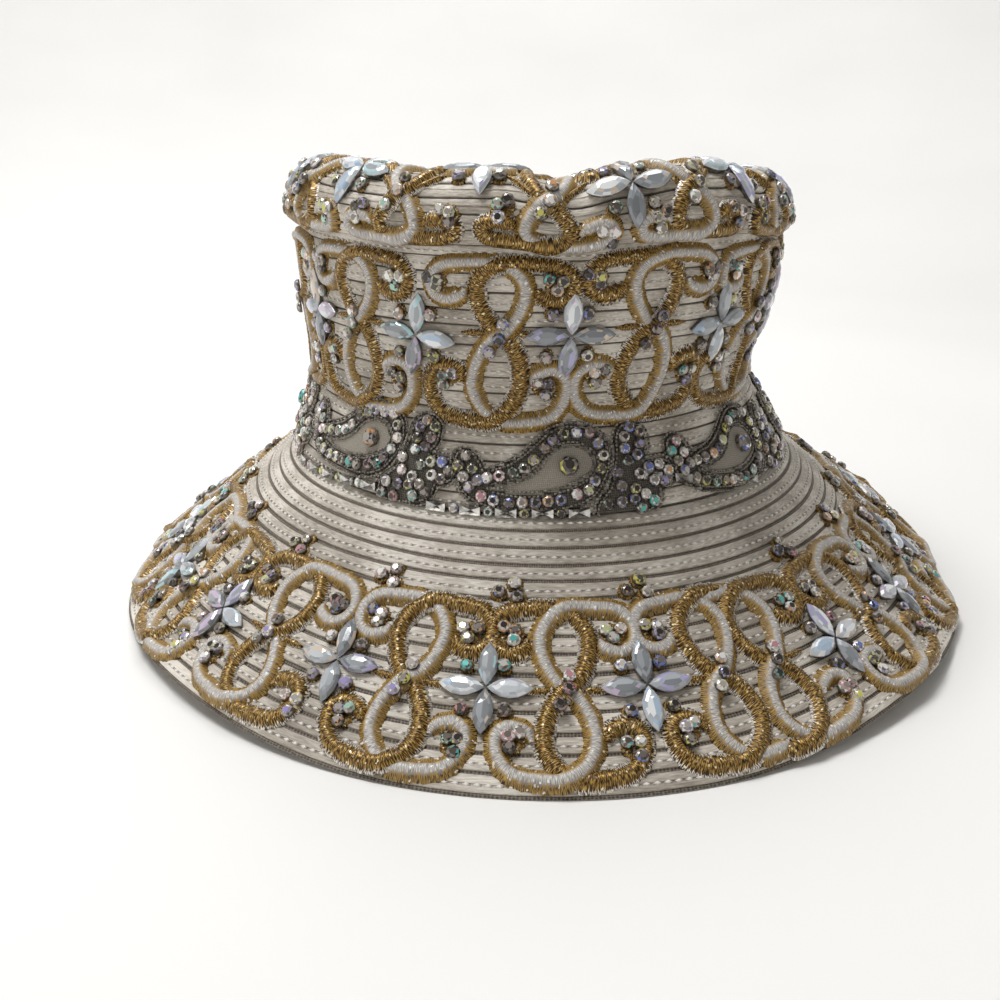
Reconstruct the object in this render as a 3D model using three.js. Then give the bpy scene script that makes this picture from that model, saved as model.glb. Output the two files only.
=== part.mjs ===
// Church hat of sewn ribbon: a waisted crown on a sloping brim, dressed with three rings of pierced
// corded lace, a four-petal stone flower in each lace repeat and paisley ornaments round the waist.
// Millimetres, +Z up, the front of the hat towards -Y. The hat rests on its brim edge at z = 0.
// Angles are in degrees from the front, growing towards +X.

import * as THREE from 'three';
import { mergeVertices } from 'three/addons/utils/BufferGeometryUtils.js';

const { MathUtils, ShapeUtils, Vector2, Vector3 } = THREE;

// Main sizes of the two sewn walls
const BRIM_HALF_WIDTH = 176;
const BRIM_HALF_LENGTH = 195;
const SEAM_HALF_WIDTH = 102;
const SEAM_HEIGHT = 60;
const OVAL = 10; // a head is longer than it is wide: half-length less half-width of the crown
const ROUND_TIP = 64; // the tip turns from oval to round inside this half-width
const WALL = 2;
const SEAM_GAP = 0.4;
const EDGE_CUT = 3.2; // width of the sloping wall where the floor plane cuts it
const EDGE_FADE = 1.5; // how fast the wave of the brim edge dies out towards the seam

// Half-widths of the crown's side outline, from the seam up to the middle of the tip
const CROWN_OUTLINE = [
  { place: 'seam', half: SEAM_HALF_WIDTH, z: SEAM_HEIGHT + SEAM_GAP },
  { place: 'band foot', half: 100.2, z: 67 },
  { place: 'band top', half: 92.5, z: 83 },
  { place: 'waist', half: 89.5, z: 91 },
  { place: 'waist top', half: 89.8, z: 103 },
  { place: 'side', half: 93.2, z: 120 },
  { place: 'side top', half: 95.4, z: 140 },
  { place: 'crease', half: 95.6, z: 152.5 },
  { place: 'overhang', half: 98.6, z: 158.5 },
  { place: 'upper side', half: 98.4, z: 166 },
  { place: 'shoulder', half: 94.0, z: 174 },
  { place: 'rim', half: 84.0, z: 178 },
  { place: 'tip slope', half: 64.0, z: 175 },
  { place: 'tip', half: 34.0, z: 170.5 },
  { place: 'middle', half: 0.0, z: 169 },
];

// The crown is hand-shaped: its waist sits off the middle, its back has sunk, and its rim rises and
// falls
const WAIST_SHIFT = { mm: -4.5, z: 97, spread: 26 };
const TOP_SHIFT = { mm: -1.5, from: 110, to: 150 };
const BACK_SINK = { mm: -12, from: 70, to: 172, behind: 0.1 };
const RIM_WAVE_FROM = 140;
const RIM_WAVE_FULL = 172;
const RIM_HALF_WIDTH = 85;
const TIP_SINK = -9; // the middle of the tip follows the mean of the rim
const RIM_WAVE = [
  { at: -180, mm: -10 },
  { at: -130, mm: -9 },
  { at: -90, mm: -6.5 },
  { at: -60, mm: -3.5 },
  { at: -30, mm: -5 },
  { at: -10, mm: -4.5 },
  { at: 5, mm: -7.5 },
  { at: 16, mm: -4 },
  { at: 28, mm: -2 },
  { at: 40, mm: -3 },
  { at: 55, mm: -7 },
  { at: 70, mm: -9 },
  { at: 100, mm: -12 },
  { at: 140, mm: -10 },
];

// Height of the brim edge over the floor; it rests at the front, at both sides and at the back
const EDGE_WAVE = [
  { at: -180, mm: 0 },
  { at: -135, mm: 2 },
  { at: -85, mm: 0 },
  { at: -50, mm: 6 },
  { at: -15, mm: 0 },
  { at: 15, mm: 0 },
  { at: 48, mm: 6 },
  { at: 80, mm: 0 },
  { at: 127, mm: 15 },
  { at: 165, mm: 0 },
];

// How finely the walls are faceted
const CROWN_SIDES = 36;
const BRIM_SIDES = 48;
const BRIM_ROWS = 2;
const OUTLINE_DIVISIONS = 1000;
const WELD = 1e-3;
const INSIDE_SKIPS = ['band foot', 'waist top', 'side', 'overhang', 'rim', 'tip slope', 'middle'];

// Lace: a band of figure-eights between flowers. Across is counted in repeats from the middle of the
// figure-eight, and up in half-heights of the band, so one chart of a quarter serves all three rings.
const LACE_CLEARANCE = 1.2; // a flat facet dips towards the round wall between its corners
const LACE_THICKNESS = 2.2;
const LACE_POINTS = [
  { point: 'crossing', across: 0, up: 0 },
  { point: 'waist', across: 0.06, up: 0 },
  { point: 'flank', across: 0.17, up: 0.24 },
  { point: 'curl foot', across: 0.34, up: 0.3 },
  { point: 'curl side', across: 0.5, up: 0.48 },
  { point: 'notch', across: 0.5, up: 0.8 },
  { point: 'arc', across: 0.3, up: 1.04 },
  { point: 'top', across: 0, up: 1.07 },
  { point: 'eye foot', across: 0, up: 0.12 },
  { point: 'eye low', across: 0.09, up: 0.36 },
  { point: 'eye high', across: 0.09, up: 0.68 },
  { point: 'eye top', across: 0, up: 0.86 },
  { point: 'twin waist', across: 0.09, up: 0 },
  { point: 'twin join', across: 0.25, up: 0.42 },
  { point: 'twin top', across: 0.25, up: 1.07 },
];
const FLOWER_SIDE = [
  ['crossing', 'waist', 'eye foot'],
  ['eye foot', 'waist', 'flank'],
  ['eye foot', 'flank', 'eye low'],
  ['eye low', 'flank', 'curl foot'],
  ['eye low', 'curl foot', 'eye high'],
  ['curl foot', 'curl side', 'eye high'],
  ['curl side', 'notch', 'eye high'],
  ['eye high', 'notch', 'arc'],
  ['eye high', 'arc', 'eye top'],
  ['eye top', 'arc', 'top'],
];
const TWIN_SIDE = [
  ['crossing', 'twin waist', 'eye foot'],
  ['eye foot', 'twin waist', 'twin join'],
  ['eye foot', 'twin join', 'eye low'],
  ['eye low', 'twin join', 'eye high'],
  ['eye high', 'twin join', 'twin top'],
  ['eye high', 'twin top', 'eye top'],
  ['eye top', 'twin top', 'top'],
];
const TWIN_SPACING = 0.5; // two figure-eights stand side by side where the brim lace meets itself
// Lift is how far the flowers sit above the middle of their ring
const LACE_RINGS = [
  { name: 'crown_tip', flowers: 12, start: 15, over: 'crease', along: 30.5, half: 24.5, lift: 0, twins: false },
  { name: 'crown_side', flowers: 11, start: 5.4, over: 'side', along: -1.8, half: 28, lift: 4.2, twins: false },
  { name: 'brim', flowers: 18, start: 11.3, over: 'edge', along: 33, half: 28, lift: 0, twins: true },
];

// A flower is four marquise stones, point to point
const PETAL_TIP = 15.2;
const PETAL_HALF_WIDTH = 3.3;
const PETAL_MIDDLE = 8.2;
const PETAL_ROOT = 0.8;
const PETAL_RISE = 2.2;
const PETAL_TABLE = { root: 4.6, tip: 11.8, half: 1.7 };
const PETALS = 4;
const FLOWER_CLEARANCE = 0.5;
const HAND_TURN = 7; // largest turn of a hand-set flower, in degrees
const HAND_STEP = 2.4;

// Paisley ornament on its strip of set stones, in upright sections from the strip's left end to the
// right prong, in millimetres from its largest stone; open is the half-height of the drop's opening
const APPLIQUES = 8;
const APPLIQUE_START = 5.5;
const APPLIQUE_ALONG = 17.6;
const APPLIQUE_CLEARANCE = 1.2;
const APPLIQUE_THICKNESS = 2.2;
const STRIP_FOOT = -16.2;
const APPLIQUE_SECTIONS = [
  { part: 'strip', x: -48, low: STRIP_FOOT, middle: -14.8, high: -13.4, open: 0 },
  { part: 'tail', x: -40, low: STRIP_FOOT, middle: -14.8, high: -12.8, open: 0 },
  { part: 'tail hook', x: -35, low: STRIP_FOOT, middle: -8, high: 4.5, open: 0 },
  { part: 'tail', x: -28, low: STRIP_FOOT, middle: -8, high: -1.5, open: 0 },
  { part: 'drop point', x: -20, low: STRIP_FOOT, middle: -8, high: 0, open: 0 },
  { part: 'drop', x: -9, low: STRIP_FOOT, middle: -5.5, high: 7, open: 3.6 },
  { part: 'drop', x: -1, low: STRIP_FOOT, middle: -4, high: 10.6, open: 0 },
  { part: 'drop head', x: 10, low: STRIP_FOOT, middle: -2, high: 10.4, open: 0 },
  { part: 'neck', x: 16, low: -15.5, middle: -4, high: 1, open: 0 },
  { part: 'top prong', x: 22, low: -15.5, middle: -4, high: 10.2, open: 0 },
  { part: 'low prong', x: 29, low: -14.5, middle: -4, high: 8.5, open: 0 },
  { part: 'side prong', x: 37, low: -8, middle: -5, high: -2, open: 0 },
];

const RIBBON = { color: 0xb5aca0, roughness: 0.62, metalness: 0 };
const CORD = { color: 0xa9823a, roughness: 0.5, metalness: 0.35 };
const STONE = { color: 0xbfc9d6, roughness: 0.08, metalness: 0.25 };
const BEADWORK = { color: 0x4a4845, roughness: 0.3, metalness: 0.6 };

const crownCurve = new THREE.SplineCurve(CROWN_OUTLINE.map(({ half, z }) => new Vector2(half, z)));
crownCurve.arcLengthDivisions = OUTLINE_DIVISIONS;
const crownLength = crownCurve.getLength();
const brimSlant = Math.hypot(BRIM_HALF_WIDTH - SEAM_HALF_WIDTH, SEAM_HEIGHT);

// Distance along the crown's side outline from the seam to one of its named places
function crownAlong(place) {
  const share = CROWN_OUTLINE.findIndex((row) => row.place === place) / (CROWN_OUTLINE.length - 1);
  return crownCurve.getLengths()[Math.round(share * OUTLINE_DIVISIONS)];
}

// A smooth value round the hat, from a table of angles
function wave(table, angle) {
  const turned = MathUtils.euclideanModulo(angle + 180, 360) - 180;
  const index = table.findLastIndex(({ at }) => at <= turned);
  const low = table[index];
  const high = table[(index + 1) % table.length];
  const span = MathUtils.euclideanModulo(high.at - low.at, 360);
  return MathUtils.lerp(low.mm, high.mm, MathUtils.smoothstep((turned - low.at) / span, 0, 1));
}

function ovalPoint(angle, halfWidth, halfLength, z) {
  const turn = MathUtils.degToRad(angle);
  return new Vector3(halfWidth * Math.sin(turn), -halfLength * Math.cos(turn), z);
}

// A point of the crown's outside, by its distance along the side outline from the seam
function crownPoint(angle, along) {
  const { x: half, y: z } = crownCurve.getPointAt(MathUtils.clamp(along / crownLength, 0, 1));
  const rimShare = Math.min(half / RIM_HALF_WIDTH, 1);
  const rise = MathUtils.lerp(TIP_SINK, wave(RIM_WAVE, angle), rimShare);
  const oval = OVAL * Math.min(half / ROUND_TIP, 1);
  const point = ovalPoint(angle, half, half + oval, z);
  point.z += rise * MathUtils.smoothstep(z, RIM_WAVE_FROM, RIM_WAVE_FULL);
  const behind = MathUtils.smoothstep(-Math.cos(MathUtils.degToRad(angle)), BACK_SINK.behind, 1);
  point.z += BACK_SINK.mm * behind * rimShare * MathUtils.smoothstep(z, BACK_SINK.from, BACK_SINK.to);
  point.x += WAIST_SHIFT.mm * Math.exp(-(((z - WAIST_SHIFT.z) / WAIST_SHIFT.spread) ** 2));
  point.x += TOP_SHIFT.mm * MathUtils.smoothstep(z, TOP_SHIFT.from, TOP_SHIFT.to);
  return point;
}

// A point of the brim's outside, by its distance up the slope from the edge
function brimPoint(angle, along) {
  const share = MathUtils.clamp(along / brimSlant, 0, 1);
  const halfWidth = MathUtils.lerp(BRIM_HALF_WIDTH, SEAM_HALF_WIDTH, share);
  const halfLength = MathUtils.lerp(BRIM_HALF_LENGTH, SEAM_HALF_WIDTH + OVAL, share);
  const lift = wave(EDGE_WAVE, angle) * (1 - share) ** EDGE_FADE;
  return ovalPoint(angle, halfWidth, halfLength, SEAM_HEIGHT * share + lift);
}

// The same point moved out of the wall, square to it
function raised(surface, angle, along, out) {
  const step = 0.5;
  const across = surface(angle + step, along).sub(surface(angle - step, along));
  const up = surface(angle, along + step).sub(surface(angle, along - step));
  return surface(angle, along).addScaledVector(across.cross(up).normalize(), out);
}

function millimetresPerDegree(surface, angle, along) {
  return surface(angle + 0.5, along).distanceTo(surface(angle - 0.5, along));
}

function mesh(name, triangles, finish) {
  const geometry = new THREE.BufferGeometry().setFromPoints(triangles.flat());
  const welded = mergeVertices(geometry, WELD);
  welded.computeVertexNormals();
  const made = new THREE.Mesh(welded, new THREE.MeshStandardMaterial({ ...finish, flatShading: true }));
  made.name = name;
  return made;
}

// Triangles between rings that follow each other down the outside
function lofted(rings) {
  const triangles = [];
  for (let row = 0; row + 1 < rings.length; row += 1) {
    const [upper, lower] = [rings[row], rings[row + 1]];
    upper.forEach((corner, side) => {
      const next = (side + 1) % upper.length;
      triangles.push([corner, lower[side], lower[next]], [corner, lower[next], upper[next]]);
    });
  }
  return triangles;
}

function fan(pole, ring, facesUp) {
  return ring.map((corner, side) => {
    const next = ring[(side + 1) % ring.length];
    return facesUp ? [pole, corner, next] : [pole, next, corner];
  });
}

function ring(sides, pointAt) {
  return Array.from({ length: sides }, (_, side) => pointAt((360 * side) / sides));
}

// Crown: the outside from the tip down, then the inside back up, one wall thickness in
function crown() {
  const places = CROWN_OUTLINE.map(({ place }) => place);
  const middle = places.pop();
  const outside = places.map((place) => ring(CROWN_SIDES, (angle) => crownPoint(angle, crownAlong(place))));
  const inside = places
    .filter((place) => !INSIDE_SKIPS.includes(place))
    .map((place) => ring(CROWN_SIDES, (angle) => raised(crownPoint, angle, crownAlong(place), -WALL)));
  inside[0].forEach((corner) => {
    corner.z = CROWN_OUTLINE[0].z;
  });
  const tip = crownPoint(0, crownAlong(middle));
  const tipInside = tip.clone().add(new Vector3(0, 0, -WALL));
  const wall = lofted([...outside.toReversed(), ...inside]);
  return [...fan(tip, outside.at(-1), true), ...wall, ...fan(tipInside, inside.at(-1), false)];
}

// Brim: the outside from the seam down to the edge, a flat edge on the floor, and the inside back up
function brim() {
  const rows = Array.from({ length: BRIM_ROWS + 1 }, (_, row) => (brimSlant * row) / BRIM_ROWS);
  const outside = rows.map((along) => ring(BRIM_SIDES, (angle) => brimPoint(angle, along)));
  const inside = rows.map((along) => ring(BRIM_SIDES, (angle) => raised(brimPoint, angle, along, -WALL)));
  inside[0] = outside[0].map((edge) => {
    const inwards = new Vector3(-edge.x, -edge.y, 0).setLength(EDGE_CUT);
    return inwards.add(edge);
  });
  return lofted([...outside.toReversed(), ...inside, outside.at(-1)]);
}

// A sheet bent onto a wall. Its flat triangles have corners of angle and distance along the wall, and
// an edge that only one of them has is the sheet's own edge, so it is closed by a narrow wall.
function sheet(surface, flat, clearance, thickness) {
  const facing = flat.map((corners) => (ShapeUtils.area(corners) > 0 ? corners : corners.toReversed()));
  const under = ({ x, y }) => raised(surface, x, y, clearance);
  const over = ({ x, y }) => raised(surface, x, y, clearance + thickness);
  const turned = (angle) => MathUtils.euclideanModulo(Math.round(angle / WELD), 360 / WELD);
  const key = ({ x, y }) => `${turned(x)} ${Math.round(y / WELD)}`;
  const triangles = [];
  const edges = new Map();
  facing.forEach((corners) => {
    triangles.push(corners.map(over), corners.toReversed().map(under));
    corners.forEach((from, index) => {
      const to = corners[(index + 1) % corners.length];
      edges.set(`${key(from)} to ${key(to)}`, [from, to]);
    });
  });
  edges.forEach(([from, to]) => {
    if (edges.has(`${key(to)} to ${key(from)}`)) return;
    triangles.push([under(from), under(to), over(to)], [under(from), over(to), over(from)]);
  });
  return triangles;
}

// One ring of lace: the chart of a quarter, turned over four ways about each figure-eight
function laceRing({ surface, eights, repeat, along, half }) {
  const chart = new Map(LACE_POINTS.map(({ point, across, up }) => [point, new Vector2(across, up)]));
  const corner = (point, angle, side, end) => {
    const { x, y } = chart.get(point);
    return new Vector2(angle + side * x * repeat, along + end * y * half);
  };
  const quarter = (facets, ...place) => facets.map((facet) => facet.map((point) => corner(point, ...place)));
  const flat = eights.flatMap(({ angle, left, right }) => [
    ...quarter(right, angle, 1, 1),
    ...quarter(right, angle, 1, -1),
    ...quarter(left, angle, -1, 1),
    ...quarter(left, angle, -1, -1),
  ]);
  return sheet(surface, flat, LACE_CLEARANCE, LACE_THICKNESS);
}

// A ring's wall and place, with the angles of its flowers and of the figure-eights between them;
// where it has twins, they stand in the first gap
function laidOut({ flowers, start, over, along, half, lift, twins }) {
  const onBrim = over === 'edge';
  const repeat = 360 / (flowers + (twins ? TWIN_SPACING : 0));
  const angles = [];
  const eights = [];
  let angle = start;
  for (let index = 0; index < flowers; index += 1) {
    angles.push(angle);
    const twinned = twins && index === 0;
    eights.push({ angle: angle + repeat / 2, left: FLOWER_SIDE, right: twinned ? TWIN_SIDE : FLOWER_SIDE });
    angle += repeat;
    if (twinned) {
      angle += repeat * TWIN_SPACING;
      eights.push({ angle: angle - repeat / 2, left: TWIN_SIDE, right: FLOWER_SIDE });
    }
  }
  const surface = onBrim ? brimPoint : crownPoint;
  const middle = (onBrim ? 0 : crownAlong(over)) + along;
  return { surface, along: middle, flowersAlong: middle + lift, half, repeat, angles, eights };
}

// One flower: each petal a table with facets down to a pointed outline, all four on one flat back
function flower(surface, angle, along, turn) {
  const base = LACE_CLEARANCE + LACE_THICKNESS + FLOWER_CLEARANCE;
  const at = (reach, aside, petal, rise) => {
    const spin = MathUtils.degToRad(turn + (360 * petal) / PETALS);
    const flat = new Vector2(reach, aside).rotateAround(new Vector2(), spin);
    const up = along + flat.y;
    const swing = flat.x / millimetresPerDegree(surface, angle, up);
    return raised(surface, angle + swing, up, base + rise);
  };
  const triangles = [];
  const middle = at(0, 0, 0, PETAL_RISE / 2);
  for (let petal = 0; petal < PETALS; petal += 1) {
    const before = at(PETAL_ROOT, -PETAL_ROOT, petal, 0);
    const after = at(PETAL_ROOT, PETAL_ROOT, petal, 0);
    const right = at(PETAL_MIDDLE, -PETAL_HALF_WIDTH, petal, 0);
    const left = at(PETAL_MIDDLE, PETAL_HALF_WIDTH, petal, 0);
    const tip = at(PETAL_TIP, 0, petal, 0);
    const tableRoot = at(PETAL_TABLE.root, 0, petal, PETAL_RISE);
    const tableTip = at(PETAL_TABLE.tip, 0, petal, PETAL_RISE);
    const tableRight = at(PETAL_MIDDLE, -PETAL_TABLE.half, petal, PETAL_RISE);
    const tableLeft = at(PETAL_MIDDLE, PETAL_TABLE.half, petal, PETAL_RISE);
    triangles.push(
      [tableRoot, tableRight, tableLeft],
      [tableRight, tableTip, tableLeft],
      [before, right, tableRight],
      [before, tableRight, tableRoot],
      [right, tip, tableTip],
      [right, tableTip, tableRight],
      [tip, left, tableTip],
      [left, tableLeft, tableTip],
      [left, after, tableLeft],
      [after, tableRoot, tableLeft],
      [before, tableRoot, middle],
      [middle, tableRoot, after],
      [before, left, right],
      [before, after, left],
      [right, left, tip],
    );
  }
  const [a, b, c, d] = [0, 1, 2, 3].map((petal) => at(PETAL_ROOT, PETAL_ROOT, petal, 0));
  triangles.push([c, b, a], [d, c, a]);
  return triangles;
}

// One paisley ornament with its strip, bent round the waist band: two cells between each pair of
// sections, one under the drop's opening and one over it
function applique(angle) {
  const corner = ({ x }, y) => {
    const along = APPLIQUE_ALONG + y;
    return new Vector2(angle + x / millimetresPerDegree(crownPoint, angle, along), along);
  };
  const flat = [];
  for (let index = 0; index + 1 < APPLIQUE_SECTIONS.length; index += 1) {
    const [a, b] = [APPLIQUE_SECTIONS[index], APPLIQUE_SECTIONS[index + 1]];
    const cells = [
      [corner(a, a.low), corner(b, b.low), corner(b, b.middle - b.open), corner(a, a.middle - a.open)],
      [corner(a, a.middle + a.open), corner(b, b.middle + b.open), corner(b, b.high), corner(a, a.high)],
    ];
    cells.forEach(([p, q, r, s]) => flat.push([p, q, r], [p, r, s]));
  }
  return sheet(crownPoint, flat, APPLIQUE_CLEARANCE, APPLIQUE_THICKNESS);
}

const hat = new THREE.Group();
hat.add(mesh('crown', crown(), RIBBON));
hat.add(mesh('brim', brim(), RIBBON));
LACE_RINGS.forEach(({ name, ...sizes }) => {
  const lace = laidOut(sizes);
  hat.add(mesh(`${name}_lace`, laceRing(lace), CORD));
  lace.angles.forEach((angle, index) => {
    const turn = HAND_TURN * Math.sin(HAND_STEP * index);
    const number = String(index + 1).padStart(2, '0');
    hat.add(mesh(`${name}_flower_${number}`, flower(lace.surface, angle, lace.flowersAlong, turn), STONE));
  });
});
for (let index = 0; index < APPLIQUES; index += 1) {
  const angle = APPLIQUE_START + (360 * index) / APPLIQUES;
  hat.add(mesh(`band_applique_${index + 1}`, applique(angle), BEADWORK));
}

export default hat;
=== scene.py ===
"""Church hat of sewn ribbon rows, dressed with corded lace, stone flowers and beaded paisleys.

Lengths in the tables are millimetres. Angles are degrees from the front of the hat, growing towards
+X. Every piece is laid out on one of the two walls, by its angle and its distance along the wall, and
then raised off it.
"""

from __future__ import annotations

import logging
import math
from dataclasses import dataclass, field
from enum import Enum
from functools import cache
from typing import Any, ClassVar

import bpy
import numpy as np
from numpy.typing import NDArray
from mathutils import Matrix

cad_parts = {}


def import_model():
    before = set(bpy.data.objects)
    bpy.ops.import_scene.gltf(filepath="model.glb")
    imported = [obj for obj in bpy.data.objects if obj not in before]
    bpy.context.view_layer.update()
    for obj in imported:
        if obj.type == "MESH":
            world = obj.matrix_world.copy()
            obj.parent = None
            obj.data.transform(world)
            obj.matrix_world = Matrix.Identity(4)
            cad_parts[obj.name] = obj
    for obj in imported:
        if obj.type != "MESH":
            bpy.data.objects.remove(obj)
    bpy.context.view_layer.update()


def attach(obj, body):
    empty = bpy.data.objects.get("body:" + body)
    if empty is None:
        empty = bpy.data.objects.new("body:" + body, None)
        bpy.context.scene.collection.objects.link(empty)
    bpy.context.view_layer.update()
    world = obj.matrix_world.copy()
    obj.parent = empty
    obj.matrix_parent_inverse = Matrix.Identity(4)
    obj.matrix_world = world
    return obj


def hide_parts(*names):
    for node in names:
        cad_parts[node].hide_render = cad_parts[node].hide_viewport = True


Floats = NDArray[np.float64]
Ints = NDArray[np.int64]
Chart = tuple[tuple[float, float], ...]
Misses = dict[int, tuple[float, float]]
Triple = tuple[float, float, float]
Socket = bpy.types.NodeSocket

METRES = 0.001
BODY = "root"
CHART_LAYER = "flat_mm"
CHART_RADIUS = 120.0  # the ribbon's chart is rolled out at this radius
TINT_LAYER = "tint"
NO_MISS = (0.0, 0.0)

log = logging.getLogger("church_hat")


class Slot(Enum):
    """Material slots of the part's record."""

    RIBBON = "ribbon"
    LACE = "corded_lace"
    STONE = "cut_stone"
    BEADWORK = "beadwork"


class Thread(Enum):
    """The two threads that the lace is worked in."""

    GOLD = "gold"
    WHITE = "white"


def linear(colour: str) -> tuple[float, float, float, float]:
    """Turn an sRGB hex value into the linear colour that shaders take.

    Args:
        colour: six hex digits after a hash sign.

    Returns:
        Linear red, green and blue, and an alpha of 1.
    """
    shares = [int(colour[start : start + 2], 16) / 255 for start in (1, 3, 5)]
    red, green, blue = (
        share / 12.92 if share <= 0.04045 else ((share + 0.055) / 1.055) ** 2.4 for share in shares
    )
    return red, green, blue, 1.0


def node(
    tree: bpy.types.NodeTree,
    kind: str,
    inputs: dict[str | int, Any] | None = None,
    result: str | int = 0,
    **settings: Any,
) -> Socket:
    """Add a node with its settings, the values of its inputs and its links.

    Args:
        tree: the material's node tree.
        kind: the node's type without its usual prefix.
        inputs: what each input takes, by its name or number: a value, or the socket that feeds it.
        result: the name or number of the output that is wanted.
        settings: properties of the node; for a colour ramp, its "stops" and how they "spread".

    Returns:
        The wanted output of the new node.
    """
    made = tree.nodes.new(f"ShaderNode{kind}")
    if "stops" in settings:
        ramp, stops = made.color_ramp, settings.pop("stops")
        ramp.interpolation = settings.pop("spread", "LINEAR")
        while len(ramp.elements) < len(stops):
            ramp.elements.new(1.0)
        for stop, (position, colour) in zip(ramp.elements, stops):
            stop.position, stop.color = position, linear(colour)
    for name, value in settings.items():
        setattr(made, name, value)
    for name, value in (inputs or {}).items():
        if isinstance(value, bpy.types.NodeSocket):
            tree.links.new(value, made.inputs[name])
        else:
            made.inputs[name].default_value = value
    return made.outputs[result]


@dataclass(frozen=True)
class Finish:
    """A material of the hat, named for what it is and how its surface was made."""

    name: str
    roughness: float
    metallic: float = 0.0
    ior: float = 1.5
    sheen: float = 0.0
    coat: float = 0.0
    anisotropy: float = 0.0
    relief: float = 0.0  # strength of the fine relief, and its depth
    relief_mm: float = 0.2

    def material(self) -> bpy.types.Material:
        """Make the material: the even values here, then what varies over the surface.

        Returns:
            The new material.
        """
        made = bpy.data.materials.new(self.name)
        made.use_nodes = True
        tree = made.node_tree
        shader = tree.nodes["Principled BSDF"]
        even = {
            "Roughness": self.roughness,
            "Metallic": self.metallic,
            "IOR": self.ior,
            "Sheen Weight": self.sheen,
            "Coat Weight": self.coat,
            "Anisotropic": self.anisotropy,
        }
        for socket, value in even.items():
            shader.inputs[socket].default_value = value
        colour, height = self.paint(tree)
        tree.links.new(colour, shader.inputs["Base Color"])
        if height:
            depth = {"Strength": self.relief, "Distance": self.relief_mm * METRES, "Height": height}
            tree.links.new(node(tree, "Bump", depth), shader.inputs["Normal"])
        return made

    def paint(self, tree: bpy.types.NodeTree) -> tuple[Socket, Socket | None]:
        """Add the nodes that vary over the surface; each finish has its own."""
        raise NotImplementedError


@cache
def material_of(finish: Finish) -> bpy.types.Material:
    """Give the one material of a finish."""
    return finish.material()


@dataclass(frozen=True)
class SatinRibbon(Finish):
    """Polyester satin ribbon, woven: short floats that give a soft shine and a fine grain along the row."""

    relief: float = 0.3
    relief_mm: float = 0.14
    shade: str = "#92897d"
    colour: str = "#bab1a4"
    light: str = "#e0d9ce"
    streak_mm: float = 0.45  # a float is 0.1 mm wide; drawn as bundles, so that they show
    streak_length_mm: float = 3.2
    streak_share: float = 0.8  # how much the streaks count beside the mottle
    mottle_mm: float = 24.0
    stain: str = "#a08a5c"
    stain_place: Triple = (338.0, 12.0, 0.0)  # old glue, beside the front paisley
    stain_size: Triple = (9.0, 6.5, 1.0)
    stain_ragged: float = 0.9

    def paint(self, tree: bpy.types.NodeTree) -> tuple[Socket, Socket]:
        """Streak the colour and the relief along the row, mottle it softly and soak the stain in.

        Args:
            tree: the material's node tree.

        Returns:
            The colour, and the height of the relief.
        """
        chart = node(tree, "UVMap", uv_map=CHART_LAYER)
        around, up = node(tree, "SeparateXYZ", {0: chart}).node.outputs[:2]
        turn = node(tree, "Math", {0: around, 1: CHART_RADIUS}, operation="DIVIDE")
        east = node(tree, "Math", {0: turn}, operation="SINE")
        north = node(tree, "Math", {0: turn}, operation="COSINE")
        # Round the hat the pattern runs on a circle, so that it meets itself without a join
        rolled = node(tree, "CombineXYZ", {0: east, 1: north, 2: up})
        fine = (*[CHART_RADIUS / self.streak_length_mm] * 2, 1 / self.streak_mm)
        broad = (*[CHART_RADIUS / self.mottle_mm] * 2, 1 / self.mottle_mm)
        long = node(tree, "Mapping", {"Vector": rolled, "Scale": fine})
        streaks = node(tree, "TexNoise", {"Vector": long, "Scale": 1.0, "Detail": 3.0, "Roughness": 0.6})
        wide = node(tree, "Mapping", {"Vector": rolled, "Scale": broad})
        mottle = node(tree, "TexNoise", {"Vector": wide, "Scale": 1.0, "Detail": 2.0})
        whole = 1 + self.streak_share
        mixed = node(tree, "Math", {0: streaks, 1: self.streak_share, 2: mottle}, operation="MULTIPLY_ADD")
        share = node(tree, "Math", {0: mixed, 1: whole}, operation="DIVIDE")
        stops = ((0.66, self.shade), (0.88, self.colour), (1.08, self.light))
        woven = node(tree, "ValToRGB", {0: share}, stops=[(at / whole, colour) for at, colour in stops])
        place = {"Vector": chart, "Location": self.stain_place, "Scale": self.stain_size}
        beside = node(tree, "Mapping", place, vector_type="TEXTURE")
        apart = node(tree, "VectorMath", {0: beside}, "Value", operation="LENGTH")
        ragged = node(tree, "Math", {0: mottle, 1: self.stain_ragged, 2: apart}, operation="MULTIPLY_ADD")
        soaked = node(tree, "ValToRGB", {0: ragged}, stops=[(0.5, "#a0a0a0"), (0.99, "#000000")])
        stained = node(tree, "Mix", {0: soaked, 6: woven, 7: linear(self.stain)}, 2, data_type="RGBA")
        return stained, streaks


@dataclass(frozen=True)
class InsetNet(Finish):
    """Stiff horsehair net, knotted: small grey threads round darker holes."""

    relief: float = 0.6
    hole: str = "#3c342c"
    thread: str = "#857c70"
    mesh_mm: float = 0.85

    def paint(self, tree: bpy.types.NodeTree) -> tuple[Socket, Socket]:
        """Lay a grid of dark holes over the thread.

        Args:
            tree: the material's node tree.

        Returns:
            The colour, and the height of the relief.
        """
        chart = node(tree, "UVMap", uv_map=CHART_LAYER)
        holes = node(tree, "TexVoronoi", {"Vector": chart, "Scale": 1 / self.mesh_mm, "Randomness": 0.25})
        return node(tree, "ValToRGB", {0: holes}, stops=[(0.25, self.hole), (0.6, self.thread)]), holes


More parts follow.
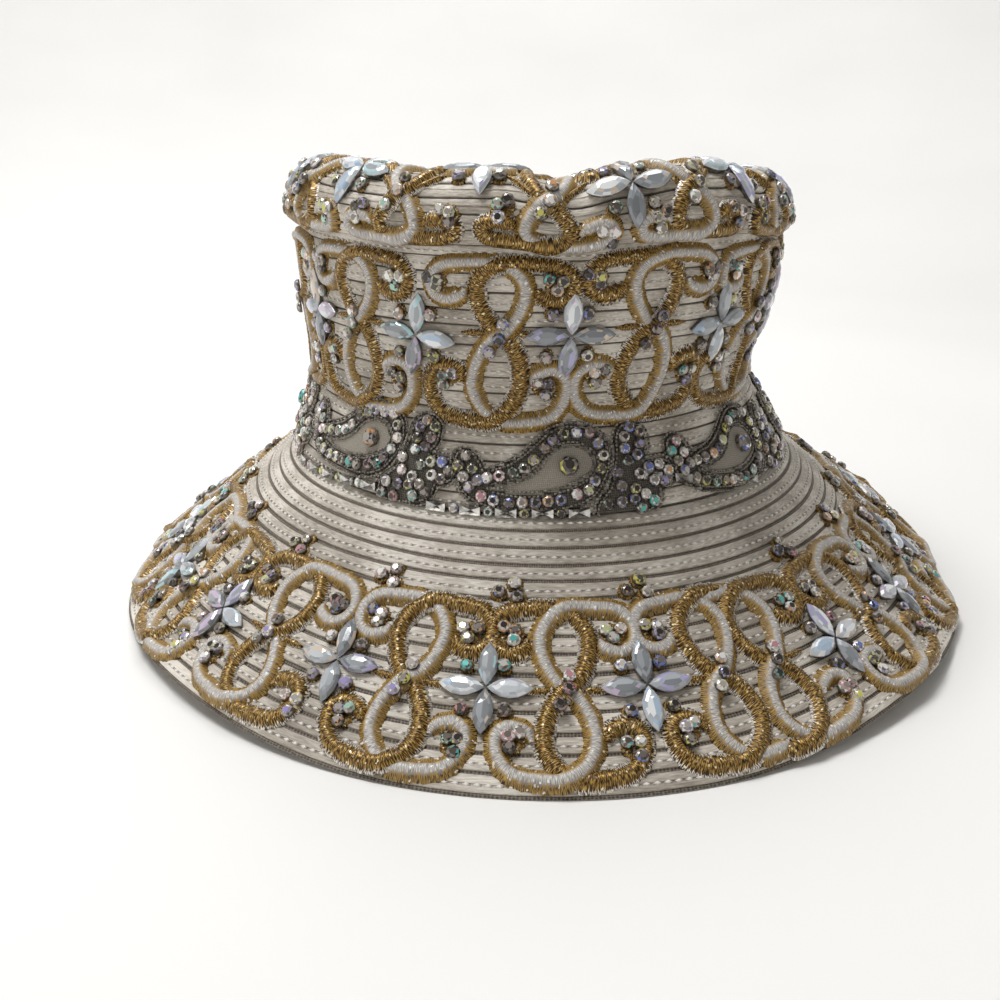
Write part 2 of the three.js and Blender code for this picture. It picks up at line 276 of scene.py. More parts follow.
@dataclass(frozen=True)
class SatinStitch(Finish):
    """Embroidery thread, satin-stitched over a cord: bright threads side by side, square to the cord, with
    specks of painted glint.
    """

    relief: float = 0.8
    relief_mm: float = 0.3
    dark: str = "#2a1c09"
    colour: str = "#6a4c1b"
    light: str = "#c8a153"
    # Painted glint: the colour of the small specks of highlight painted into the thread
    painted_glint: str = "#fff0c8"
    edge: str = "#74613f"
    edge_light: str = "#f1ede6"
    edge_from: float = 0.79  # share of the half-width where the border's stitches begin
    stitch_mm: float = 0.27
    stitch_share: float = 0.4  # how far a stitch shows before another covers it, in half-widths
    # Size of the painted glint specks, and the threshold past which a speck is painted highlight
    painted_glint_mm: float = 0.5
    painted_glint_from: float = 0.84

    def paint(self, tree: bpy.types.NodeTree) -> tuple[Socket, Socket]:
        """Stripe the thread, border it with the other thread and scatter painted glints, specks of highlight
        painted into the colour.

        Args:
            tree: the material's node tree.

        Returns:
            The colour, and the height of the relief.
        """
        chart = node(tree, "UVMap", uv_map=CHART_LAYER)
        across = (1 / self.stitch_mm, 1 / self.stitch_share, 1)
        long = node(tree, "Mapping", {"Vector": chart, "Scale": across})
        threads = node(tree, "TexNoise", {"Vector": long, "Scale": 1.0, "Detail": 1.0, "Roughness": 0.5})
        stops = [(0.4, self.dark), (0.5, self.colour), (0.62, self.light)]
        body = node(tree, "ValToRGB", {0: threads}, stops=stops)
        border = node(tree, "ValToRGB", {0: threads}, stops=[(0.42, self.edge), (0.58, self.edge_light)])
        side = node(tree, "Math", {0: node(tree, "SeparateXYZ", {0: chart}, "Y")}, operation="ABSOLUTE")
        # Where the two threads meet, their stitches reach into each other like the teeth of combs
        toothed = node(tree, "Math", {0: threads, 1: side}, operation="ADD")
        beyond = node(tree, "Math", {0: toothed, 1: self.edge_from + 0.5}, operation="GREATER_THAN")
        bordered = node(tree, "Mix", {0: beyond, 6: body, 7: border}, 2, data_type="RGBA")
        # Painted glints: cells past the threshold take the glint colour as painted highlight
        short = (1 / self.painted_glint_mm, 3 / self.painted_glint_mm, 1)
        painted_glint_chart = node(tree, "Mapping", {"Vector": chart, "Scale": short})
        painted_glint_cells = node(tree, "TexVoronoi", {"Vector": painted_glint_chart, "Scale": 1.0}, "Color")
        stops = [(self.painted_glint_from, "#000000"), (self.painted_glint_from + 0.06, "#ffffff")]
        bright = node(tree, "ValToRGB", {0: painted_glint_cells}, stops=stops)
        painted_glints = {0: bright, 6: bordered, 7: linear(self.painted_glint)}
        return node(tree, "Mix", painted_glints, 2, data_type="RGBA"), threads


@dataclass(frozen=True)
class FacetedStone(Finish):
    """Foil-backed stone with a rainbow coat, cut in flat facets; each facet's colour is painted reflected
    light, a grey from dark to white, or one of the coat's colours, partly its own colour and partly painted
    coloured glint.
    """

    tints: tuple[str, ...] = ()
    # The greys are painted reflections, the light that each facet would catch
    reflected_greys: int = 0  # how many of the first tints are greys

    def drawn(self, rng: np.random.Generator, shape: tuple[int, int], coloured: float, spread: int) -> Floats:
        """Draw the tints of some stones: painted reflection greys near each stone's own, with the coat's
        colour here and there.

        Args:
            rng: the source of the draws.
            shape: how many stones, and how many facets each has.
            coloured: the share of the facets that show the stone's colour.
            spread: how many steps a facet's grey may be from the stone's.

        Returns:
            Places in the list of tints, from 0 to 1.
        """
        grey = rng.integers(1, self.reflected_greys - 1, (shape[0], 1))
        colour = rng.integers(self.reflected_greys, len(self.tints), (shape[0], 1))
        near = np.clip(grey + rng.integers(-spread, spread + 1, shape), 0, self.reflected_greys - 1)
        lit = coloured * rng.uniform(0.2, 1.8, (shape[0], 1))
        number = np.where(rng.uniform(0, 1, shape) < lit, colour, near)
        return (number + 0.5) / len(self.tints)

    def paint(self, tree: bpy.types.NodeTree) -> tuple[Socket, None]:
        """Give each facet the tint that it carries: a painted reflection grey or a coat colour.

        Args:
            tree: the material's node tree.

        Returns:
            The colour, and no relief.
        """
        carried = node(tree, "Attribute", result="Fac", attribute_name=TINT_LAYER)
        stops = [(index / len(self.tints), tint) for index, tint in enumerate(self.tints)]
        return node(tree, "ValToRGB", {0: carried}, stops=stops, spread="CONSTANT"), None


@dataclass(frozen=True)
class CloudedCoat(Finish):
    """Plating, fired glass or paper with soft clouds in it: dull in patches and bright in between."""

    dull: str = "#8c8a86"
    bright: str = "#dcdad5"
    patch_mm: float = 2.2
    detail: float = 3.0
    turns: tuple[float, float] = (0.35, 0.6)  # where the dull tone ends and the bright one begins

    def paint(self, tree: bpy.types.NodeTree) -> tuple[Socket, None]:
        """Cloud the coat from its dull tone to its bright one.

        Args:
            tree: the material's node tree.

        Returns:
            The colour, and no relief.
        """
        place = node(tree, "TexCoord", result="Object")
        size = 1 / (self.patch_mm * METRES)
        cloud = node(tree, "TexNoise", {"Vector": place, "Scale": size, "Detail": self.detail})
        return node(tree, "ValToRGB", {0: cloud}, stops=list(zip(self.turns, (self.dull, self.bright)))), None


# Painted reflections: greys from dark to white for the light each facet catches, then the rainbow coat's
# colours, partly the coat's own and partly painted coloured glints
OPAL_REFLECTIONS_AND_COAT_TINTS = (
    "#7b7f83", "#8f9397", "#a4a8ac", "#babfc4", "#d3d8dd", "#f3f6f8", "#b7cbe0", "#bfe0e4",
    "#b7b3d8", "#d0c0d6", "#dccdbd",
)  # fmt: skip
RHINESTONE_REFLECTIONS_AND_COAT_TINTS = (
    "#35302c", "#585049", "#756c65", "#928982", "#b0a8a0", "#cfc8c1", "#f3f0ec", "#d3cf6e",
    "#c9cd9c", "#a8cdb9", "#5cbab2", "#c98f99", "#6d7fc6", "#a49bcb", "#d8a06e",
)  # fmt: skip

RIBBON = SatinRibbon("satin_ribbon_woven", roughness=0.56, sheen=0.15, anisotropy=0.2)
ROW_NET = InsetNet("horsehair_net_knotted", roughness=0.7)
# The crown's net: a finer mesh, with its colours darkened as painted shade for the net deep between the tight
# rows
SHADED_NET = InsetNet(
    "horsehair_net_fine_painted_shade", roughness=0.75, hole="#2b2621", thread="#6b635a", mesh_mm=0.6
)
GOLD_CORD = SatinStitch("metallised_thread_satin_stitched", roughness=0.38, metallic=0.35)
WHITE_CORD = SatinStitch(
    "rayon_thread_satin_stitched",
    roughness=0.5,
    dark="#8f8982",
    colour="#b5b0ab",
    light="#e2dfdb",
    # painted glint of the white thread
    painted_glint="#f8f7f4",
    edge="#2c1e0b",
    edge_light="#c09a4e",
    edge_from=0.43,
    stitch_mm=0.2,
    stitch_share=0.7,
    painted_glint_from=0.86,
    relief=0.2,
)
PATCH_THREAD = SatinStitch(
    "metallised_thread_eyelet_stitched", roughness=0.42, metallic=0.3, edge_from=9.0
)
ROW_THREAD = SatinStitch(
    "cotton_thread_running_stitched",
    roughness=0.65,
    dark="#e4dfd6",
    colour="#f3efe8",
    light="#fcfaf6",
    # painted glint of the running stitches
    painted_glint="#ffffff",
    edge_from=9.0,
    painted_glint_from=0.93,
)
OPAL = FacetedStone(
    "acrylic_stone_rainbow_coated", roughness=0.14, metallic=0.1, coat=0.5, tints=OPAL_REFLECTIONS_AND_COAT_TINTS, reflected_greys=6
)
RHINESTONE = FacetedStone(
    "glass_rhinestone_foil_backed", roughness=0.1, metallic=0.15, coat=0.4, tints=RHINESTONE_REFLECTIONS_AND_COAT_TINTS, reflected_greys=7
)
SILVER = CloudedCoat("silver_plate_cast", roughness=0.25, metallic=1.0)
# Pressed plating of the stone cups; on the cast links it is also painted shade on the hollow's top and bottom
# facets
CUP_AND_PAINTED_SHADE = CloudedCoat("silver_plate_pressed_and_painted_shade", roughness=0.35, metallic=0.8, dull="#5d5a55", bright="#a29f99")
GUNMETAL = CloudedCoat(
    "gunmetal_glass_bead_fired", roughness=0.3, metallic=0.4, dull="#55504a", bright="#a29b90", patch_mm=1.4
)
DARK_NET = InsetNet("dark_tulle_knotted", roughness=0.75, hole="#2f2b25", thread="#6a645a", mesh_mm=0.8)
SHEER_NET = InsetNet("sheer_tulle_knotted", roughness=0.75, hole="#878075", thread="#a8a195", mesh_mm=0.7)
PAPER = CloudedCoat(
    "background_paper_rolled",
    roughness=0.85,
    dull="#efeeec",
    bright="#f6f5f3",
    patch_mm=400.0,
    detail=2.0,
    turns=(0.3, 0.7),
)


def unit(vectors: Floats) -> Floats:
    """Scale vectors to a length of 1."""
    return vectors / np.maximum(np.linalg.norm(vectors, axis=-1, keepdims=True), 1e-9)


def eased(values: Floats, low: float, high: float) -> Floats:
    """Ease from 0 at low to 1 at high."""
    share = np.clip((values - low) / (high - low), 0.0, 1.0)
    return share * share * (3 - 2 * share)


def wave(table: Chart, angle: Floats) -> Floats:
    """Read a smooth value round the hat from a table.

    Args:
        table: rows of degrees and millimetres, from -180 on.
        angle: degrees from the front.

    Returns:
        Millimetres at each angle.
    """
    at = np.array([row[0] for row in table] + [table[0][0] + 360])
    value = np.array([row[1] for row in table] + [table[0][1]])
    turned = np.mod(np.asarray(angle) + 180, 360) - 180
    index = np.clip(np.searchsorted(at, turned, side="right") - 1, 0, len(table) - 1)
    share = eased((turned - at[index]) / (at[index + 1] - at[index]), 0.0, 1.0)
    return value[index] + (value[index + 1] - value[index]) * share


def spline(knots: Floats, steps: int, closed: bool = False) -> Floats:
    """Draw an even Catmull-Rom curve through knots.

    Args:
        knots: points that the curve goes through.
        steps: points drawn for each span.
        closed: whether the curve returns to its first knot.

    Returns:
        Points of the curve, with the last knot unless it is closed.
    """
    if closed:
        padded = np.vstack([knots[-1:], knots, knots[:2]])
    else:
        padded = np.vstack([knots[:1], knots, knots[-1:]])
    share = (np.arange(steps) / steps)[:, None]
    drawn = []
    for start in range(len(padded) - 3):
        before, first, last, after = padded[start : start + 4]
        leave, arrive = (last - before) / 2, (after - first) / 2
        cubic = 2 * first - 2 * last + leave + arrive
        square = 3 * last - 3 * first - 2 * leave - arrive
        drawn.append(cubic * share**3 + square * share**2 + leave * share + first)
    return np.vstack(drawn if closed else [*drawn, knots[-1:]])


def spaced(path: Floats, step: float, closed: bool = False) -> tuple[Floats, Floats]:
    """Place points at even distances along a path.

    Args:
        path: closely drawn points.
        step: the wanted distance between points.
        closed: whether the path returns to its first point.

    Returns:
        The points, and the path's directions there.
    """
    line = np.vstack([path, path[:1]]) if closed else path
    lengths = np.concatenate([[0.0], np.cumsum(np.linalg.norm(np.diff(line, axis=0), axis=1))])
    count = max(2, round(lengths[-1] / step))
    places = np.linspace(0.0, lengths[-1], count, endpoint=not closed)
    points = np.stack([np.interp(places, lengths, line[:, axis]) for axis in range(line.shape[1])], axis=1)
    if closed:
        heading = np.roll(points, -1, axis=0) - np.roll(points, 1, axis=0)
    else:
        heading = np.gradient(points, axis=0)
    return points, unit(heading)


def enclosed(points: Floats, outline: Floats) -> NDArray[np.bool_]:
    """Test which flat points lie inside a closed outline.

    Args:
        points: flat points.
        outline: corners of the outline.

    Returns:
        True for each point inside.
    """
    result = np.zeros(len(points), dtype=bool)
    for start, end in zip(outline, np.roll(outline, -1, axis=0)):
        straddles = (start[1] > points[:, 1]) != (end[1] > points[:, 1])
        slope = (end[0] - start[0]) / (end[1] - start[1] + 1e-12)
        result ^= straddles & (points[:, 0] < start[0] + (points[:, 1] - start[1]) * slope)
    return result


def patchwork(
    rows: int, columns: int, round_rows: bool = False, round_columns: bool = False
) -> tuple[Ints, Ints]:
    """List the quads of a grid of points.

    Args:
        rows: points in the grid's first direction.
        columns: points in its second direction.
        round_rows: whether the first direction closes on itself.
        round_columns: whether the second direction does.

    Returns:
        Corners of the quads, and the same corners in a grid with one more row and column.
    """
    row, column = np.meshgrid(
        np.arange(rows if round_rows else rows - 1),
        np.arange(columns if round_columns else columns - 1),
        indexing="ij",
    )
    row, column = row.ravel(), column.ravel()
    corners = [(row, column), (row + 1, column), (row + 1, column + 1), (row, column + 1)]
    quads = np.stack([(r % rows) * columns + c % columns for r, c in corners], axis=1)
    unrolled = np.stack([r * (columns + 1) + c for r, c in corners], axis=1)
    return quads, unrolled


def gridded(first: Floats, second: Floats) -> Floats:
    """Lay flat points out in a grid, by the first direction and then the second."""
    return np.stack(np.meshgrid(first, second, indexing="ij"), axis=-1)


def turned(flat: Floats, degrees: float) -> Floats:
    """Turn flat points round the middle of their chart.

    Args:
        flat: millimetres to the right and up.
        degrees: the turn to the left.

    Returns:
        The turned points.
    """
    right, up = flat[..., 0], flat[..., 1]
    cosine, sine = math.cos(math.radians(degrees)), math.sin(math.radians(degrees))
    return np.stack([right * cosine - up * sine, right * sine + up * cosine], axis=-1)


def spun(bases: Floats, turn: Floats | float) -> Floats:
    """Turn directions round the one that points out.

    Args:
        bases: directions across, up and out at each place.
        turn: radians to the left, for all the places or for each.

    Returns:
        The turned directions.
    """
    across, up, out = np.moveaxis(bases, -2, 0)
    cosine, sine = np.cos(turn), np.sin(turn)
    cosine, sine = np.reshape(cosine, (-1, 1)), np.reshape(sine, (-1, 1))
    return np.stack([across * cosine + up * sine, up * cosine - across * sine, out], axis=1)


def hull_triangles(shape: Floats) -> Ints:
    """List the triangles of a small round shape, facing outwards.

    Args:
        shape: points of the shape, all of them on its hull.

    Returns:
        Corners of the triangles.
    """
    found = []
    count = len(shape)
    for a in range(count):
        for b in range(a + 1, count):
            for c in range(b + 1, count):
                normal = np.cross(shape[b] - shape[a], shape[c] - shape[a])
                side = (shape - shape[a]) @ normal
                if np.all(side < 1e-6):
                    found.append((a, b, c))
                elif np.all(side > -1e-6):
                    found.append((a, c, b))
    return np.array(found)


@dataclass
class Draft:
    """A mesh on the drawing board, in millimetres."""

    points: list[Floats] = field(default_factory=list)
    faces: list[Ints] = field(default_factory=list)
    charts: list[Floats] = field(default_factory=list)
    tints: list[Floats] = field(default_factory=list)
    looks: list[Ints] = field(default_factory=list)
    smooths: list[NDArray[np.bool_]] = field(default_factory=list)
    count: int = 0

    def add(
        self,
        points: Floats | None,
        faces: Ints,
        chart: Floats | None = None,
        tint: Floats | float = 0.0,
        look: Ints | int = 0,
        smooth: bool = True,
        back: int = 0,
    ) -> None:
        """Add points and the faces between them, or more faces between earlier points.

        Args:
            points: the new points, if there are any.
            faces: rows of indexes into these points, all of one length.
            chart: flat millimetres of each face corner.
            tint: what each face carries for its colour.
            look: which of the piece's finishes each face takes.
            smooth: whether the faces shade into each other.
            back: with no new points, how many points back the indexes start.
        """
        faces = np.asarray(faces, dtype=np.int64)
        number = len(faces)
        self.faces.append(faces + (self.count - back))
        self.charts.append(np.zeros((*faces.shape, 2)) if chart is None else np.asarray(chart))
        self.tints.append(np.broadcast_to(np.asarray(tint, dtype=float), (number,)))
        self.looks.append(np.broadcast_to(np.asarray(look, dtype=np.int64), (number,)))
        self.smooths.append(np.full(number, smooth))
        if points is not None:
            flat = np.asarray(points, dtype=float).reshape(-1, 3)
            self.points.append(flat)
            self.count += len(flat)

    def stamp(
        self,
        shape: Floats,
        faces: Ints,
        places: Floats,
        bases: Floats,
        tint: Floats | float = 0.0,
        look: int = 0,
        smooth: bool = True,
        again: bool = False,
    ) -> None:
        """Set the same small shape down at many places.

        Args:
            shape: points of the shape, across, up and out from its place.
            faces: its faces.
            places: where each copy goes.
            bases: directions across, up and out at each place.
            tint: what each face of each copy carries for its colour.
            look: which of the piece's finishes the faces take.
            smooth: whether the faces shade into each other.
            again: whether these are more faces on the points stamped last.
        """
        total = len(places) * len(shape)
        starts = (np.arange(len(places)) * len(shape))[:, None, None]
        every = (faces[None] + starts).reshape(-1, faces.shape[1])
        tints = np.broadcast_to(tint, (len(places), len(faces))).ravel()
        flat = shape[:, :2][faces]
        chart = np.broadcast_to(flat[None], (len(places), *flat.shape)).reshape(-1, faces.shape[1], 2)
        if again:
            self.add(None, every, chart, tints, look, smooth, back=total)
            return
        placed = places[:, None, :] + np.einsum("pk,nka->npa", shape, bases)
        self.add(placed, every, chart, tints, look, smooth)

    def piece(
        self, name: str, finishes: tuple[Finish, ...], slot: Slot, nodes: tuple[str, ...] = ()
    ) -> bpy.types.Object:
        """Make the mesh a piece of the hat.

        Args:
            name: the piece's name.
            finishes: the finishes that its faces take.
            slot: the record's material slot; not used.
            nodes: the solids that the piece stands for.

        Returns:
            The new piece.
        """
        sizes = np.concatenate([np.full(len(faces), faces.shape[1]) for faces in self.faces])
        mesh = bpy.data.meshes.new(name)
        corners = np.concatenate([faces.ravel() for faces in self.faces])
        points = np.vstack(self.points) * METRES
        mesh.vertices.add(len(points))
        mesh.vertices.foreach_set("co", points.astype(np.float32).ravel())
        mesh.loops.add(len(corners))
        mesh.loops.foreach_set("vertex_index", corners.astype(np.int32))
        mesh.polygons.add(len(sizes))
        starts = np.concatenate([[0], np.cumsum(sizes)[:-1]])
        mesh.polygons.foreach_set("loop_start", starts.astype(np.int32))
        mesh.polygons.foreach_set("material_index", np.concatenate(self.looks).astype(np.int32))
        mesh.polygons.foreach_set("use_smooth", np.concatenate(self.smooths))
        mesh.update(calc_edges=True)
        layer = mesh.uv_layers.new(name=CHART_LAYER)
        chart = np.concatenate([part.reshape(-1, 2) for part in self.charts])
        layer.data.foreach_set("uv", chart.astype(np.float32).ravel())
        carried = mesh.attributes.new(TINT_LAYER, "FLOAT", "FACE")
        carried.data.foreach_set("value", np.concatenate(self.tints).astype(np.float32))
        for finish in finishes:
            mesh.materials.append(material_of(finish))
        made = bpy.data.objects.new(name, mesh)
        bpy.context.scene.collection.objects.link(made)
        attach(made, BODY)
        if nodes:
            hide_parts(*nodes)
        return made


class Wall:
    """A sewn wall of the hat: a surface of angle round the hat and distance along its outline."""

    STEP: ClassVar[float] = 0.5

    def points(self, angle: Floats, along: Floats) -> Floats:
        """Give points of the wall's outside; each wall has its own."""
        raise NotImplementedError

    def bases(self, angle: Floats, along: Floats) -> Floats:
        """Give the directions across, up and out at places on the wall.

        Args:
            angle: degrees from the front.
            along: millimetres along the wall.

        Returns:
            Unit vectors, in an array that ends in three directions of three numbers.
        """
        across = unit(self.points(angle + self.STEP, along) - self.points(angle - self.STEP, along))
        up = self.points(angle, along + self.STEP) - self.points(angle, along - self.STEP)
        out = unit(np.cross(across, up))
        return np.stack([across, np.cross(out, across), out], axis=-2)

    def raised(self, angle: Floats, along: Floats, out: Floats | float) -> Floats:
        """Give points moved out of the wall, square to it.

        Args:
            angle: degrees from the front.
            along: millimetres along the wall.
            out: millimetres out of the wall.

        Returns:
            The points.
        """
        lift = np.broadcast_to(np.asarray(out, dtype=float), np.shape(angle))
        return self.points(angle, along) + self.bases(angle, along)[..., 2, :] * lift[..., None]

    def per_degree(self, angle: Floats, along: Floats) -> Floats:
        """Give the millimetres that one degree takes up."""
        span = self.points(angle + self.STEP, along) - self.points(angle - self.STEP, along)
        return np.linalg.norm(span, axis=-1)

    def laid(self, angle: float, along: float, flat: Floats) -> tuple[Floats, Floats]:
        """Lay a flat chart on the wall.

        Args:
            angle: degrees of the chart's middle.
            along: millimetres along the wall of its middle.
            flat: millimetres to the right and up from the middle.

        Returns:
            The angle and the distance along the wall of each point.
        """
        height = along + flat[..., 1]
        swing = flat[..., 0] / self.per_degree(np.full_like(height, angle), height)
        return angle + swing, height


@dataclass
class CrownWall(Wall):
    """The waisted crown, from the seam with the brim up to the middle of the tip."""

    outline: dict[str, tuple[float, float]] = field(
        default_factory=lambda: {
            "seam": (102.0, 60.4),
            "band foot": (100.2, 67.0),
            "band top": (92.5, 83.0),
            "waist": (89.5, 91.0),
            "waist top": (89.8, 103.0),
            "side": (93.2, 120.0),
            "side top": (95.4, 140.0),
            "crease": (95.6, 152.5),
            "overhang": (98.6, 158.5),
            "upper side": (98.4, 166.0),
            "shoulder": (94.0, 174.0),
            "rim": (84.0, 178.0),
            "tip slope": (64.0, 175.0),
            "tip": (34.0, 170.5),
            "middle": (0.0, 169.0),
        }
    )
    oval: float = 10.0
    round_tip: float = 64.0
    waist_shift: float = -4.5
    waist_height: float = 97.0
    waist_spread: float = 26.0
    top_shift: float = -1.5
    top_shift_from: float = 110.0
    top_shift_to: float = 150.0
    rim_half_width: float = 85.0
    rim_wave_from: float = 140.0
    rim_wave_full: float = 172.0
    back_sink: float = -12.0
    back_sink_from: float = 70.0
    back_sink_full: float = 172.0
    behind: float = 0.1
    tip_sink: float = -9.0
    rim_wave: Chart = (
        (-180, -10), (-130, -9), (-90, -6.5), (-60, -3.5), (-30, -5), (-10, -4.5), (5, -7.5), (16, -4),
        (28, -2), (40, -3), (55, -7), (70, -9), (100, -12), (140, -10),
    )  # fmt: skip
    steps: int = 80

    def __post_init__(self) -> None:
        """Measure the outline once."""
        knots = np.array(list(self.outline.values()))
        self._drawn = spline(knots, self.steps)
        spans = np.linalg.norm(np.diff(self._drawn, axis=0), axis=1)
        self._lengths = np.concatenate([[0.0], np.cumsum(spans)])

    @property
    def length(self) -> float:
        """Millimetres from the seam to the middle of the tip."""
        return float(self._lengths[-1])

    def place(self, name: str) -> float:
        """Give the millimetres along the wall of a named place."""
        return float(self._lengths[list(self.outline).index(name) * self.steps])

    def points(self, angle: Floats, along: Floats) -> Floats:
        """Give points of the crown's outside.

        Args:
            angle: degrees from the front.
            along: millimetres from the seam.

        Returns:
            The points.
        """
        half = np.interp(along, self._lengths, self._drawn[:, 0])
        height = np.interp(along, self._lengths, self._drawn[:, 1])
        turn = np.radians(angle)
        rim_share = np.minimum(half / self.rim_half_width, 1.0)
        rise = self.tip_sink + (wave(self.rim_wave, angle) - self.tip_sink) * rim_share
        oval = self.oval * np.minimum(half / self.round_tip, 1.0)
        waist = np.exp(-(((height - self.waist_height) / self.waist_spread) ** 2))
        shift = self.waist_shift * waist
        shift = shift + self.top_shift * eased(height, self.top_shift_from, self.top_shift_to)
        behind = eased(-np.cos(turn), self.behind, 1.0)
        sunk = self.back_sink * behind * rim_share * eased(height, self.back_sink_from, self.back_sink_full)
        lifted = height + rise * eased(height, self.rim_wave_from, self.rim_wave_full) + sunk
        return np.stack([half * np.sin(turn) + shift, -(half + oval) * np.cos(turn), lifted], axis=-1)


@dataclass
class BrimWall(Wall):
    """The sloping brim, from its edge up to the seam with the crown."""

    half_width: float = 176.0
    half_length: float = 195.0
    seam_half_width: float = 102.0
    seam_half_length: float = 112.0
    seam_height: float = 60.0
    edge_fade: float = 1.5
    edge_wave: Chart = (
        (-180, 0), (-135, 2), (-85, 0), (-50, 6), (-15, 0), (15, 0), (48, 6), (80, 0), (127, 15),
        (165, 0),
    )  # fmt: skip

    @property
    def length(self) -> float:
        """Millimetres up the slope from the edge to the seam."""
        return math.hypot(self.half_width - self.seam_half_width, self.seam_height)

    def points(self, angle: Floats, along: Floats) -> Floats:
        """Give points of the brim's outside.

        Args:
            angle: degrees from the front.
            along: millimetres up the slope from the edge.

        Returns:
            The points.
        """
        share = np.clip(np.asarray(along) / self.length, 0.0, 1.0)
        turn = np.radians(angle)
        half_width = self.half_width + (self.seam_half_width - self.half_width) * share
        half_length = self.half_length + (self.seam_half_length - self.half_length) * share
        height = self.seam_height * share + wave(self.edge_wave, angle) * (1 - share) ** self.edge_fade
        return np.stack([half_width * np.sin(turn), -half_length * np.cos(turn), height], axis=-1)


